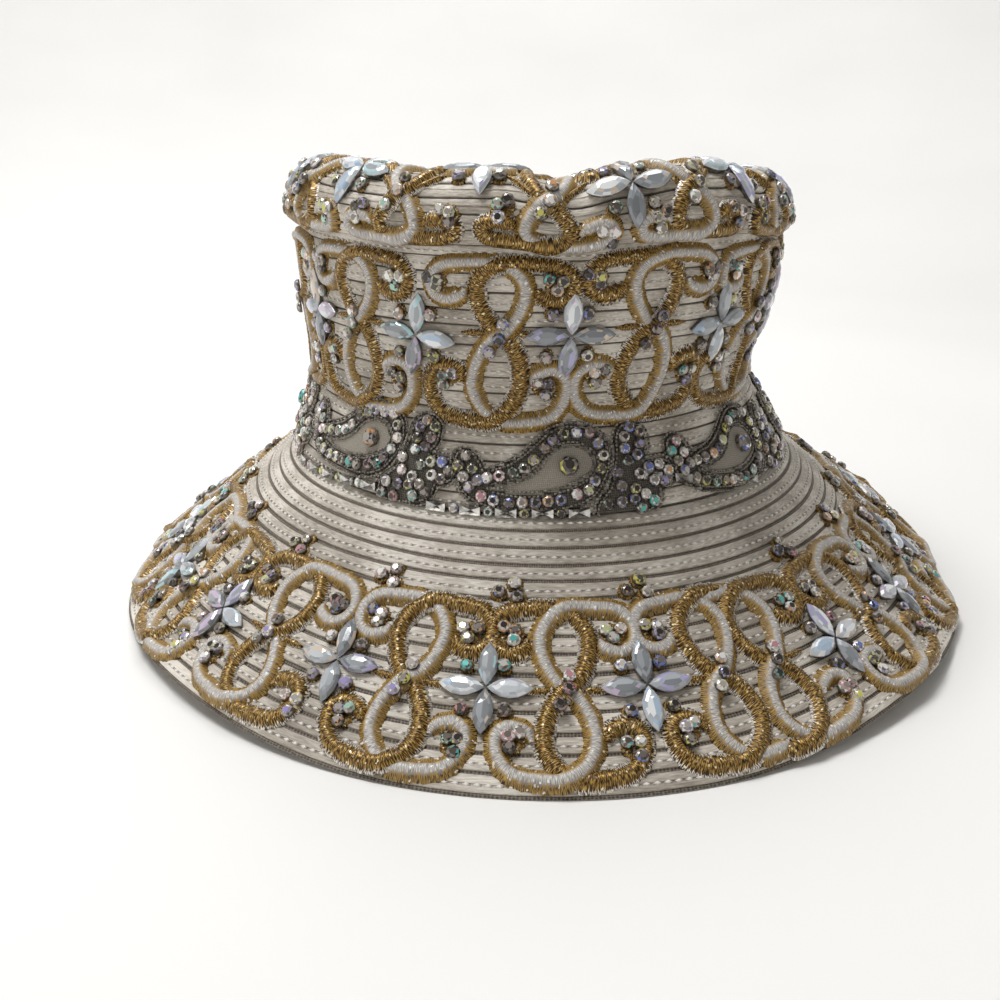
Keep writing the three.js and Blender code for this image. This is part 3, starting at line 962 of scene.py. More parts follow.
@dataclass
class RibbonRows:
    """A wall of ribbon rows that overlap like shingles, with net let in below each row."""

    name: str
    wall: CrownWall | BrimWall
    pitch: float
    sides: int
    stitched_to: float  # how far along the wall the running stitches go
    net: InsetNet
    net_share: float  # how much of a row's pitch is net
    stitch: Triple  # half the length, width and height of a running stitch
    wall_thickness: float = 2.0
    inside_foot: float = 4.0  # the inside starts this far up, clear of the floor
    stitch_pitch: float = 3.6
    stitch_share: float = 0.52
    stitch_lead: float = 0.37  # by how much of a stitch each row's stitches lead the last row's
    tip_hole: float = 1.5
    chart_from: float = 0.0  # where the wall's foot is on the flat chart
    net_out: float = 0.22
    stitch_out: float = 0.86
    # The ribbon above the net: share of the pitch and millimetres out, with the groove of the stitches
    ribbon: Chart = (
        (0.36, 0.98), (0.455, 0.96), (0.485, 0.62), (0.555, 0.62), (0.585, 0.95), (0.8, 0.8),
        (0.985, 0.42),
    )  # fmt: skip
    folded_edge: tuple[float, float] = (0.025, 0.74)
    back_step: float = 0.14  # how far every second row stands off on the inside
    fold_degrees: float = 50.0  # sharper folds than this show as edges
    # Millimetres, waves round the hat, and how far each row's waves lead the last one's, in radians
    wanders: tuple[Triple, ...] = ((0.45, 2, 1.9), (0.25, 5, 3.1))
    ripples: tuple[Triple, ...] = ((0.12, 3, 2.3), (0.07, 11, 1.7))

    @property
    def profile(self) -> Chart:
        """Give the outline of one row, from the foot of its net up.

        Returns:
            Shares of the pitch, and millimetres out of the wall.
        """
        rise, height = self.folded_edge
        edge = (self.net_share + rise, height)
        return ((0.0, self.net_out), (self.net_share, self.net_out), edge, *self.ribbon)

    def rows(self) -> int:
        """Count the rows that fit on the wall."""
        return round(self.wall.length / self.pitch)

    def edge(self, row: Floats, angle: Floats) -> Floats:
        """Give the place along the wall of a row's lower edge, with the sewer's wander.

        Args:
            row: the row's number from the foot of the wall.
            angle: degrees from the front.

        Returns:
            Millimetres along the wall.
        """
        turn, total = np.radians(angle), self.rows()
        free = np.sin(np.pi * np.clip(row / total, 0, 1)) ** 0.5
        wander = sum(mm * np.sin(waves * turn + lead * row) for mm, waves, lead in self.wanders)
        return row * (self.wall.length - self.tip_hole * self.closed_tip) / total + wander * free

    def along(self, row: Floats, share: Floats, angle: Floats) -> Floats:
        """Give the place along the wall of a point in a row.

        Args:
            row: the row's number from the foot of the wall.
            share: how far up the row the point is, from 0 to 1.
            angle: degrees from the front.

        Returns:
            Millimetres along the wall.
        """
        foot = self.edge(row, angle)
        return foot + (self.edge(row + 1, angle) - foot) * share

    def ripple(self, row: int, angle: Floats) -> Floats:
        """Give the millimetres by which a row stands off the wall more than it should."""
        turn = np.radians(angle)
        return sum(mm * np.sin(waves * turn + lead * row) for mm, waves, lead in self.ripples)

    @property
    def closed_tip(self) -> bool:
        """Tell whether the wall closes over at its top."""
        return isinstance(self.wall, CrownWall)

    def outside(self, angle: Floats) -> tuple[Floats, Floats, Ints]:
        """Lay the outside's points from the foot up.

        Args:
            angle: degrees of the sides, in a column.

        Returns:
            Distances along the wall, millimetres out of it, and each point's finish from there up.
        """
        along, out, looks = [], [], []
        for row in range(self.rows()):
            for step, (share, height) in enumerate(self.profile):
                along.append(self.along(np.float64(row), np.float64(share), angle))
                out.append(height + self.ripple(row, angle))
                looks.append(1 if step == 0 else 0)
        return np.hstack(along), np.hstack(out), np.array(looks)

    def build(self) -> list[bpy.types.Object]:
        """Make the wall and the stitches that hold its rows.

        Returns:
            The two pieces.
        """
        angle = (np.arange(self.sides) * 360 / self.sides - 180)[:, None]
        along, out, looks = self.outside(angle)
        foot = 0.0 if self.closed_tip else self.inside_foot
        levels = np.linspace(self.wall.length - self.tip_hole, foot, self.rows() + 1)
        inside_along = np.broadcast_to(levels, (self.sides, len(levels)))
        inside_out = np.broadcast_to(
            -self.wall_thickness + self.back_step * (np.arange(len(levels)) % 2), inside_along.shape
        )
        if self.closed_tip:
            along, out = np.hstack([inside_along, along]), np.hstack([inside_out, out])
            looks = np.concatenate([np.zeros(len(levels), dtype=int), looks])
        else:
            along, out = np.hstack([along, inside_along]), np.hstack([out, inside_out])
            looks = np.concatenate([looks, np.zeros(len(levels), dtype=int)])
        angles = np.broadcast_to(angle, along.shape)
        points = self.wall.raised(angles, along, out)
        quads, unrolled = patchwork(*along.shape, round_rows=True, round_columns=not self.closed_tip)
        flat_u = np.radians(np.arange(self.sides + 1) * 360 / self.sides) * CHART_RADIUS
        flat_v = np.concatenate([along[0], along[0, -1:]]) + self.chart_from
        chart = gridded(flat_u, flat_v).reshape(-1, 2)
        stations = along.shape[1] if not self.closed_tip else along.shape[1] - 1
        draft = Draft()
        draft.add(points, quads, chart[unrolled], look=np.tile(looks[:stations], self.sides))
        if self.closed_tip:
            self.close_tip(draft, points)
        made = draft.piece(f"{self.name}_ribbon", (RIBBON, self.net), Slot.RIBBON, (self.name,))
        made.data.set_sharp_from_angle(angle=math.radians(self.fold_degrees))
        return [made, self.stitches()]

    def close_tip(self, draft: Draft, points: Floats) -> None:
        """Close the small hole in the middle of the tip, inside and outside.

        Args:
            draft: the wall's mesh.
            points: the wall's points by side and station.
        """
        ring = np.arange(self.sides)
        for station, order in ((0, -1), (points.shape[1] - 1, 1)):
            rim = points[:, station]
            fan = np.stack([np.full(self.sides, self.sides), ring, (ring + 1) % self.sides], axis=1)
            fan = fan if order > 0 else fan[:, ::-1]
            draft.add(np.vstack([rim, rim.mean(axis=0)]), fan)

    def stitches(self) -> bpy.types.Object:
        """Sew a running stitch along each row.

        Returns:
            The stitches as one piece.
        """
        draft = Draft()
        length, width, height = self.stitch
        shape = np.array(
            [[-length, 0, 0], [length, 0, 0], [0, -width, 0], [0, width, 0], [0, 0, height], [0, 0, -height]]
        )
        faces = np.array(
            [[0, 2, 4], [2, 1, 4], [1, 3, 4], [3, 0, 4], [2, 0, 5], [1, 2, 5], [3, 1, 5], [0, 3, 5]]
        )
        for row in range(self.rows()):
            middle = self.along(np.float64(row), np.float64(self.stitch_share), np.float64(0))
            if middle > self.stitched_to:
                break
            around = self.wall.per_degree(np.float64(45), middle) * 360
            count = round(around / self.stitch_pitch)
            angle = (np.arange(count) + self.stitch_lead * row) * 360 / count
            along = self.along(np.full(count, float(row)), np.float64(self.stitch_share), angle)
            places = self.wall.raised(angle, along, self.stitch_out + self.ripple(row, angle))
            draft.stamp(shape, faces, places, self.wall.bases(angle, along))
        return draft.piece(f"{self.name}_row_stitches", (ROW_THREAD,), Slot.RIBBON)


@dataclass
class Rhinestone:
    """A round stone in a closed cup: a flat table, two rounds of facets and the cup's wall."""

    sides: int = 8
    cup_foot: float = 1.02  # heights and sizes are shares of the stone's radius
    girdle: float = 0.5
    shoulder: tuple[float, float] = (0.8, 0.8)
    table: tuple[float, float] = (0.48, 0.97)
    coloured: float = 0.17  # share of the facets that show a colour
    # Dark tables are painted dark reflections: the table takes the darkest grey
    painted_dark_tables: float = 0.26  # share of the stones that look dark in the middle

    def set_down(
        self, draft: Draft, places: Floats, bases: Floats, radius: Floats, rng: np.random.Generator
    ) -> None:
        """Set stones down, each facet with a painted reflection tint of its own, some tables painted dark.

        Args:
            draft: the mesh that takes the stones; its finishes are the stone and then the cup.
            places: where the stones go.
            bases: directions across, up and out there.
            radius: radius of each stone.
            rng: the source of the tints.
        """
        count = len(places)
        turn = np.arange(self.sides) * 2 * np.pi / self.sides
        rings = (
            (self.cup_foot, 0.0, 0.0),
            (1.0, self.girdle, 0.0),
            (*self.shoulder, np.pi / self.sides),
            (*self.table, 0.0),
        )
        shape = np.vstack(
            [
                np.column_stack([reach * np.cos(turn + lead), reach * np.sin(turn + lead), 0 * turn + height])
                for reach, height, lead in rings
            ]
        )
        scaled = bases * np.asarray(radius, dtype=float).reshape(-1, 1, 1)
        placed = spun(scaled, rng.uniform(0, 2 * np.pi, count))
        index = np.arange(self.sides)
        after = (index + 1) % self.sides
        cup = np.stack([index, after, after + self.sides, index + self.sides], axis=1)
        girdle, shoulder, table = (index + ring * self.sides for ring in (1, 2, 3))
        beside = [ring + after - index for ring in (girdle, shoulder, table)]
        facets = np.vstack(
            [
                np.stack([girdle, beside[0], shoulder], axis=1),
                np.stack([beside[0], beside[1], shoulder], axis=1),
                np.stack([shoulder, beside[2], table], axis=1),
                np.stack([shoulder, beside[1], beside[2]], axis=1),
            ]
        )
        tints = RHINESTONE.drawn(rng, (count, len(facets) + 1), self.coloured, 2)
        draft.stamp(shape, cup, places, placed, look=1)
        draft.stamp(shape, facets, places, placed, tints[:, :-1], smooth=False, again=True)
        # Painted dark reflection: some tables take the darkest grey
        dark = rng.uniform(0, 1, (count, 1)) < self.painted_dark_tables
        tables = np.where(dark, 0.0, tints[:, -1:])
        draft.stamp(shape, table[None], places, placed, tables, smooth=False, again=True)
        draft.stamp(shape, index[None, ::-1], places, placed, look=1, again=True)


@dataclass
class LaceRing:
    """One ring of corded lace: figure-eights of two crossing cords, with stone flowers in between."""

    name: str
    wall: Wall
    flowers: int
    start: float
    along: float
    half: float
    twins: bool = False  # two figure-eights side by side in the first gap
    flower_up: float = 0.0  # how far the flowers sit above the middle of the lace
    crossing_up: float = 0.0  # how far the middle crossings do
    also_gold_over: tuple[int, ...] = ()  # besides every second one
    # Millimetres right and up by which the hand missed a figure-eight or a flower, by its number
    eight_misses: Misses = field(default_factory=dict)
    flower_misses: Misses = field(default_factory=dict)
    topknots: bool = False  # three stones over each flower, above the lace
    seed: int = 3
    twin_spacing: float = 0.5
    cord_half_width: float = 3.85
    cord_height: float = 2.9
    cord_foot: float = 0.4
    cord_step: float = 0.8
    stem_half_width: float = 1.6
    stem_height: float = 1.9
    crossing_rise: float = 1.3
    crossing_reach: float = 4.5
    crossing_press: float = 0.35  # how far the lower cord gives way, as a share of the rise
    end_taper: float = 0.45  # share of the width left at a cord's ends, and how far the taper goes
    taper_reach: float = 3.5
    uneven: tuple[float, float] = (0.07, 0.03)  # by which share the width and height of a cord vary
    stem_places: Triple = (3.2, 8.0, 13.5)
    chart_scatter: float = 500.0  # a cord's stitches begin anywhere in this length of thread
    top_crossing: float = 0.93
    stone_radius: float = 2.3
    stone_sizes: tuple[float, float] = (0.93, 1.07)
    stone_miss: float = 0.5
    hand_turn: float = 7.0
    hand_step: float = 2.4
    # Upper half of the cord that curls to the right, from the end of its curl to the middle crossing:
    # across in repeats from the middle of the figure-eight, and up in half-heights
    curl: Chart = (
        (0.229, 0.567), (0.25, 0.47), (0.344, 0.404), (0.427, 0.47), (0.453, 0.606), (0.427, 0.779),
        (0.344, 0.913), (0.1875, 0.96), (0.042, 0.96), (-0.073, 0.856), (-0.14, 0.683), (-0.156, 0.51),
        (-0.125, 0.279), (-0.052, 0.067),
    )  # fmt: skip
    curl_knots: int = 7
    curl_stub: tuple[float, float] = (0.262, 0.93)
    section: Chart = (
        (-1.0, 0.0), (-0.97, 0.2), (-0.62, 0.38), (-0.42, 0.84), (0.0, 1.0), (0.42, 0.84), (0.62, 0.38),
        (0.97, 0.2), (1.0, 0.0),
    )  # fmt: skip
    # Small stones, in millimetres from the middle of the flower
    trios: Chart = (
        (-10.3, 19.3), (-4.1, 19.3), (-7.5, 15.2), (3.1, 20.4), (8.2, 19.3), (7.7, 15.7), (-11.0, -16.2),
        (-5.9, -17.0), (-7.0, -22.2), (8.2, -14.2), (12.6, -12.6), (9.5, -19.6),
    )  # fmt: skip
    trio_spread: float = 0.76
    # Radius and height of the patch under three stones, a single one and a stone over the lace
    trio_patch: tuple[float, float] = (4.9, 1.7)
    single_patch: tuple[float, float] = (3.0, 1.4)
    knot_patch: tuple[float, float] = (3.3, 1.7)
    trio_out: float = 1.75
    single_out: float = 1.45
    crossing_out: float = 3.7
    # share of the stones with a painted dark reflection in the table
    painted_dark_tables: float = 0.12
    # A patch from its foot inwards: shares of its radius and of its height
    patch_rings: Chart = ((1.0, 0.2), (0.86, 0.85), (0.66, 1.0), (0.4, 0.7))
    patch_spokes: int = 24
    patch_notch: float = 0.88  # how far out every second spoke reaches
    notch_sink: float = 0.8  # how far its height follows, as a power
    singles: Chart = ((-7.0, 7.2), (5.4, 7.5), (-7.2, -7.5), (6.7, -7.0))
    knot_stones: Chart = ((5.4, 36.0), (0.5, 32.7), (7.0, 31.0))
    crossing_stones: Chart = ((1.0, 3.9), (0.3, -0.8), (-2.8, -5.2))

    def __post_init__(self) -> None:
        """Lay out the flowers and the figure-eights round the hat."""
        self.repeat = 360 / (self.flowers + (self.twin_spacing if self.twins else 0))
        self.rng = np.random.default_rng(self.seed)
        self.flower_angles: list[float] = []
        self.eights: list[tuple[float, bool, bool]] = []
        self.beside: list[tuple[int, int]] = []  # numbers of the figure-eights left and right of a flower
        angle = self.start
        for index in range(self.flowers):
            self.flower_angles.append(angle)
            last = self.flowers - (0 if self.twins else 1)
            self.beside.append(((len(self.eights) or last + 1) - 1, len(self.eights)))
            twinned = self.twins and index == 0
            self.eights.append((angle + self.repeat / 2, True, not twinned))
            angle += self.repeat
            if twinned:
                angle += self.repeat * self.twin_spacing
                self.eights.append((angle - self.repeat / 2, False, True))

    def build(self) -> list[bpy.types.Object]:
        """Make the ring's cords, patches, flowers and small stones.

        Returns:
            The pieces.
        """
        cords = {Thread.GOLD: Draft(), Thread.WHITE: Draft()}
        patches, stones = Draft(), Draft()
        for index, eight in enumerate(self.eights):
            self.figure_eight(cords, index, *eight)
        self.small_stones(patches, stones)
        lace = f"{self.name}_lace"
        numbered = tuple(f"{self.name}_flower_{index + 1:02d}" for index in range(self.flowers))
        return [
            cords[Thread.GOLD].piece(f"{lace}_gold", (GOLD_CORD,), Slot.LACE, (lace,)),
            cords[Thread.WHITE].piece(f"{lace}_white", (WHITE_CORD,), Slot.LACE),
            patches.piece(f"{lace}_patches", (PATCH_THREAD,), Slot.LACE),
            self.flower_stones().piece(f"{self.name}_flowers", (OPAL, CUP_AND_PAINTED_SHADE), Slot.STONE, numbered),
            stones.piece(f"{self.name}_rhinestones", (RHINESTONE, CUP_AND_PAINTED_SHADE), Slot.STONE),
        ]

    def figure_eight(
        self, cords: dict[Thread, Draft], index: int, angle: float, left: bool, right: bool
    ) -> None:
        """Lay the two cords of a figure-eight and the stems out to its flowers.

        Args:
            cords: the meshes of the two threads.
            index: the figure-eight's number round the hat.
            angle: degrees of its middle.
            left: whether it has curls on its left.
            right: whether it has curls on its right.
        """
        width = self.repeat * float(self.wall.per_degree(np.float64(angle), np.float64(self.along)))
        size = np.array([width, self.half])
        miss = np.array(self.eight_misses.get(index, NO_MISS))
        gold_over = index % 2 == 1 or index in self.also_gold_over
        stubbed = (self.curl_stub, *self.curl[self.curl_knots :])
        for mirrored in (False, True):
            upper_has = right if not mirrored else left
            lower_has = left if not mirrored else right
            upper = np.array(self.curl if upper_has else stubbed)
            lower = -np.array(self.curl if lower_has else stubbed)[::-1]
            knots = np.vstack([upper, [[0.0, 0.0]], lower]) * size
            if mirrored:
                knots[:, 0] *= -1
            thread = Thread.GOLD if gold_over != mirrored else Thread.WHITE
            outer = self.moved(np.array([[0.0, 1.0], [0.0, -1.0]]) * self.top_crossing * self.half) + miss
            inner = self.moved(np.zeros((1, 2))) + miss
            raised, pressed = (inner, outer) if mirrored else (outer, inner)
            path = self.moved(spline(knots, 14)) + miss
            self.cord(cords[thread], angle, path, self.cord_half_width, self.cord_height, raised, pressed)
        for side, has in ((-1, left), (1, right)):
            if has:
                rise = np.array([self.crossing_up, (self.crossing_up + self.flower_up) / 2, self.flower_up])
                stem = np.stack([side * np.array(self.stem_places), rise], axis=1) + miss
                self.cord(cords[Thread.GOLD], angle, spline(stem, 8), self.stem_half_width, self.stem_height)

    def moved(self, flat: Floats) -> Floats:
        """Move a figure-eight's middle up to where its cords cross, and leave its ends.

        Args:
            flat: flat millimetres from the middle of the lace.

        Returns:
            The moved points.
        """
        share = np.maximum(1 - (flat[..., 1] / self.half) ** 2, 0.0)
        return flat + np.stack([np.zeros_like(share), self.crossing_up * share], axis=-1)

    def cord(
        self,
        draft: Draft,
        angle: float,
        path: Floats,
        half_width: float,
        height: float,
        raised: Floats | None = None,
        pressed: Floats | None = None,
    ) -> None:
        """Work one cord in satin stitch along a path.

        Args:
            draft: the thread's mesh.
            angle: degrees of the middle of the path's chart.
            path: flat millimetres from that middle.
            half_width: half the cord's width.
            height: the cord's height.
            raised: flat places where it passes over another cord.
            pressed: flat places where it passes under one.
        """
        middle, heading = spaced(path, self.cord_step)
        count = len(middle)
        aside = np.stack([-heading[:, 1], heading[:, 0]], axis=1)
        ends = np.minimum(np.arange(count), np.arange(count)[::-1]) * self.cord_step
        taper = self.end_taper + (1 - self.end_taper) * eased(ends, 0.0, self.taper_reach)
        wide_by, tall_by = self.uneven
        wide = half_width * taper * (1 + self.rng.uniform(-wide_by, wide_by, count))
        tall = height * (0.5 + 0.5 * taper) * (1 + self.rng.uniform(-tall_by, tall_by, count))
        lift = np.full(count, self.cord_foot)
        give = -self.crossing_press * self.crossing_rise
        for places, rise in ((raised, self.crossing_rise), (pressed, give)):
            for place in () if places is None else places:
                near = np.exp(-((np.linalg.norm(middle - place, axis=1) / self.crossing_reach) ** 2))
                lift = lift + max(rise, 0.0) * near
                tall = tall + min(rise, 0.0) * near
        section = np.array(self.section)
        flat = middle[:, None, :] + aside[:, None, :] * (wide[:, None] * section[:, 0])[..., None]
        out = lift[:, None] + tall[:, None] * section[:, 1]
        angles, along = self.wall.laid(angle, self.along, flat)
        points = self.wall.raised(angles, along, out)
        columns = len(section)
        quads, unrolled = patchwork(count, columns, round_columns=True)
        flat_v = np.concatenate([section[:, 0], [-1.0]])
        flat_u = np.arange(count + 1) * self.cord_step + self.rng.uniform(0, self.chart_scatter)
        chart = gridded(flat_u, flat_v).reshape(-1, 2)
        draft.add(points, quads, chart[unrolled])
        ring = np.arange(columns)
        for start, order in ((0, 1), ((count - 1) * columns, -1)):
            draft.add(None, (ring[None, ::-1] if order > 0 else ring[None]) + start, back=count * columns)

    def small_stones(self, patches: Draft, stones: Draft) -> None:
        """Set the small stones, with the stitched patches that carry them.

        Args:
            patches: the mesh of the stitched patches.
            stones: the mesh of the stones and their cups.
        """
        cut = Rhinestone(painted_dark_tables=self.painted_dark_tables)
        for index, angle in enumerate(self.flower_angles):
            lift = np.array([0.0, self.flower_up])
            miss = np.array(self.flower_misses.get(index, NO_MISS))
            trios = np.array(self.trios).reshape(-1, 3, 2)
            middles = trios.mean(axis=1, keepdims=True)
            # The curls that hold the trios went with their figure-eights, and the trios half-way
            pulls = [self.eight_misses.get(number, NO_MISS) for number in self.beside[index]]
            pulled = (np.array(pulls * 2)[:, None] + miss) / 2
            trios = (middles + (trios - middles) * self.trio_spread + pulled).reshape(-1, 2) + lift
            singles = np.array(self.singles) + lift + miss
            for start in range(0, len(trios), 3):
                self.patch(patches, angle, trios[start : start + 3].mean(axis=0), *self.trio_patch)
            for single in singles:
                self.patch(patches, angle, single, *self.single_patch)
            groups = [(trios, self.trio_out), (singles, self.single_out)]
            if self.topknots:
                knots = np.array(self.knot_stones)
                for knot in knots:
                    self.patch(patches, angle, knot, *self.knot_patch)
                groups.append((knots, self.trio_out))
            for flat, out in groups:
                self.set_stones(cut, stones, angle, flat, out)
        for index, (angle, _, _) in enumerate(self.eights):
            miss = np.array(self.eight_misses.get(index, NO_MISS))
            crossing = self.moved(np.array(self.crossing_stones)) + miss
            self.set_stones(cut, stones, angle, crossing, self.crossing_out)

    def set_stones(self, cut: Rhinestone, stones: Draft, angle: float, flat: Floats, out: float) -> None:
        """Set a group of stones down, with the hand's small misses.

        Args:
            cut: the stone's cut.
            stones: the mesh of the stones.
            angle: degrees of the chart's middle.
            flat: flat millimetres of the stones.
            out: millimetres out of the wall of their feet.
        """
        missed = flat + self.rng.uniform(-self.stone_miss, self.stone_miss, flat.shape)
        angles, along = self.wall.laid(angle, self.along, missed)
        places = self.wall.raised(angles, along, out)
        radius = self.stone_radius * self.rng.uniform(*self.stone_sizes, len(flat))
        cut.set_down(stones, places, self.wall.bases(angles, along), radius, self.rng)

    def patch(self, draft: Draft, angle: float, middle: Floats, reach: float, height: float) -> None:
        """Work a low round patch in stitches that run out from its middle.

        Args:
            draft: the mesh of the patches.
            angle: degrees of the chart's middle.
            middle: flat millimetres of the patch's middle.
            reach: the patch's radius.
            height: its height over the wall.
        """
        spokes, rings = self.patch_spokes, self.patch_rings
        turn = np.arange(spokes) * 2 * np.pi / spokes
        ragged = np.where(np.arange(spokes) % 2 == 0, 1.0, self.patch_notch)
        flat = np.stack(
            [
                middle + np.stack([np.cos(turn), np.sin(turn)], axis=1) * (reach * share * ragged)[:, None]
                for share, _ in rings
            ],
            axis=1,
        )
        out = np.array([height * share for _, share in rings]) * ragged[:, None] ** self.notch_sink
        angles, along = self.wall.laid(angle, self.along, flat)
        points = self.wall.raised(angles, along, out)
        quads, unrolled = patchwork(spokes, len(rings), round_rows=True)
        flat_u = np.arange(spokes + 1) * 2 * np.pi * reach / spokes
        flat_v = np.arange(len(rings) + 1) * 0.25
        chart = gridded(flat_u, flat_v).reshape(-1, 2)
        draft.add(points, quads, chart[unrolled])
        ring = np.arange(spokes) * len(rings)
        for start, order in ((0, -1), (len(rings) - 1, 1)):
            draft.add(None, (ring[None] if order > 0 else ring[None, ::-1]) + start, back=spokes * len(rings))

    def flower_stones(self) -> Draft:
        """Cut and set the four marquise stones of every flower.

        Returns:
            The mesh of the stones and their cups.
        """
        draft = Draft()
        for index, angle in enumerate(self.flower_angles):
            turn = self.hand_turn * math.sin(self.hand_step * index)
            miss = np.array(self.flower_misses.get(index, NO_MISS))
            angles, along = self.wall.laid(angle, self.along + self.flower_up, miss)
            place = float(angles), float(along)
            for petal in range(4):
                Marquise().set_down(draft, self.wall, *place, turn + 90 * petal, self.rng)
        return draft


@dataclass
class Marquise:
    """A boat-shaped stone, pointed at both ends, in a closed cup."""

    root: float = 0.4
    tip: float = 15.2
    half_width: float = 3.3
    shares: tuple[float, ...] = (0.0, 0.13, 0.31, 0.5, 0.69, 0.87)
    # Size of each level as a share of the outline, and its millimetres out of the wall
    levels: Chart = ((0.84, 0.7), (1.0, 2.6), (0.97, 2.9), (0.8, 3.7), (0.6, 4.1))
    cup_levels: int = 1
    ridge: tuple[float, float] = (0.34, 0.66)  # ends of the table's low ridge, as shares of the length
    ridge_out: float = 4.4
    fullness: float = 0.92  # below 1 the flanks are fuller than a parabola
    coloured: float = 0.25  # share of the facets that show a colour

    def set_down(
        self, draft: Draft, wall: Wall, angle: float, along: float, turn: float, rng: np.random.Generator
    ) -> None:
        """Set one stone down, pointing away from the middle of its flower.

        Args:
            draft: the mesh that takes it; its finishes are the stone and then the cup.
            wall: the wall under the flower.
            angle: degrees of the flower's middle.
            along: millimetres along the wall of the flower's middle.
            turn: degrees of the stone round its flower.
            rng: the source of the tints.
        """
        share = np.array([*self.shares, *(1 - np.array(self.shares))])
        side = np.repeat([-1.0, 1.0], len(self.shares))
        reach = self.root + (self.tip - self.root) * share
        aside = side * self.half_width * (1 - (2 * share - 1) ** 2) ** self.fullness
        middle = (self.root + self.tip) / 2
        size = np.array([level[0] for level in self.levels])
        drawn_reach = middle + (reach - middle)[:, None] * size
        flat = turned(np.stack([drawn_reach, aside[:, None] * size], axis=-1), turn)
        angles, heights = wall.laid(angle, along, flat)
        out = np.broadcast_to(np.array([level[1] for level in self.levels]), angles.shape)
        points = wall.raised(angles, heights, out)
        corners, levels = flat.shape[:2]
        quads, _ = patchwork(corners, levels, round_rows=True)
        level_of = np.tile(np.arange(levels - 1), corners)
        # Each facet's tint is a painted reflection grey, or now and then a coat colour
        tints = OPAL.drawn(rng, (1, len(quads) + 4), self.coloured, 1)[0]
        along_ridge = self.root + (self.tip - self.root) * np.array(self.ridge)
        ridge_flat = np.stack([along_ridge, np.zeros_like(along_ridge)], axis=-1)
        ridge_angles, ridge_heights = wall.laid(angle, along, turned(ridge_flat, turn))
        ridge = wall.raised(ridge_angles, ridge_heights, self.ridge_out)
        total = corners * levels
        whole = np.vstack([points.reshape(-1, 3), ridge])
        draft.add(whole, quads, tint=tints[:-4], look=(level_of < self.cup_levels).astype(int), smooth=False)
        table = np.arange(corners) * levels + levels - 1
        near, far, half = total, total + 1, corners // 2
        flanks = np.array([[*table[1:half], far, near], [*table[half + 1 :], near, far]])
        ends = np.array([[*table[[-1, 0, 1]], near], [*table[half - 1 : half + 2], far]])
        back = len(whole)
        draft.add(None, flanks, tint=tints[-4:-2], smooth=False, back=back)
        draft.add(None, ends, tint=tints[-2:], smooth=False, back=back)
        draft.add(None, (np.arange(corners) * levels)[None, ::-1], look=1, smooth=False, back=back)


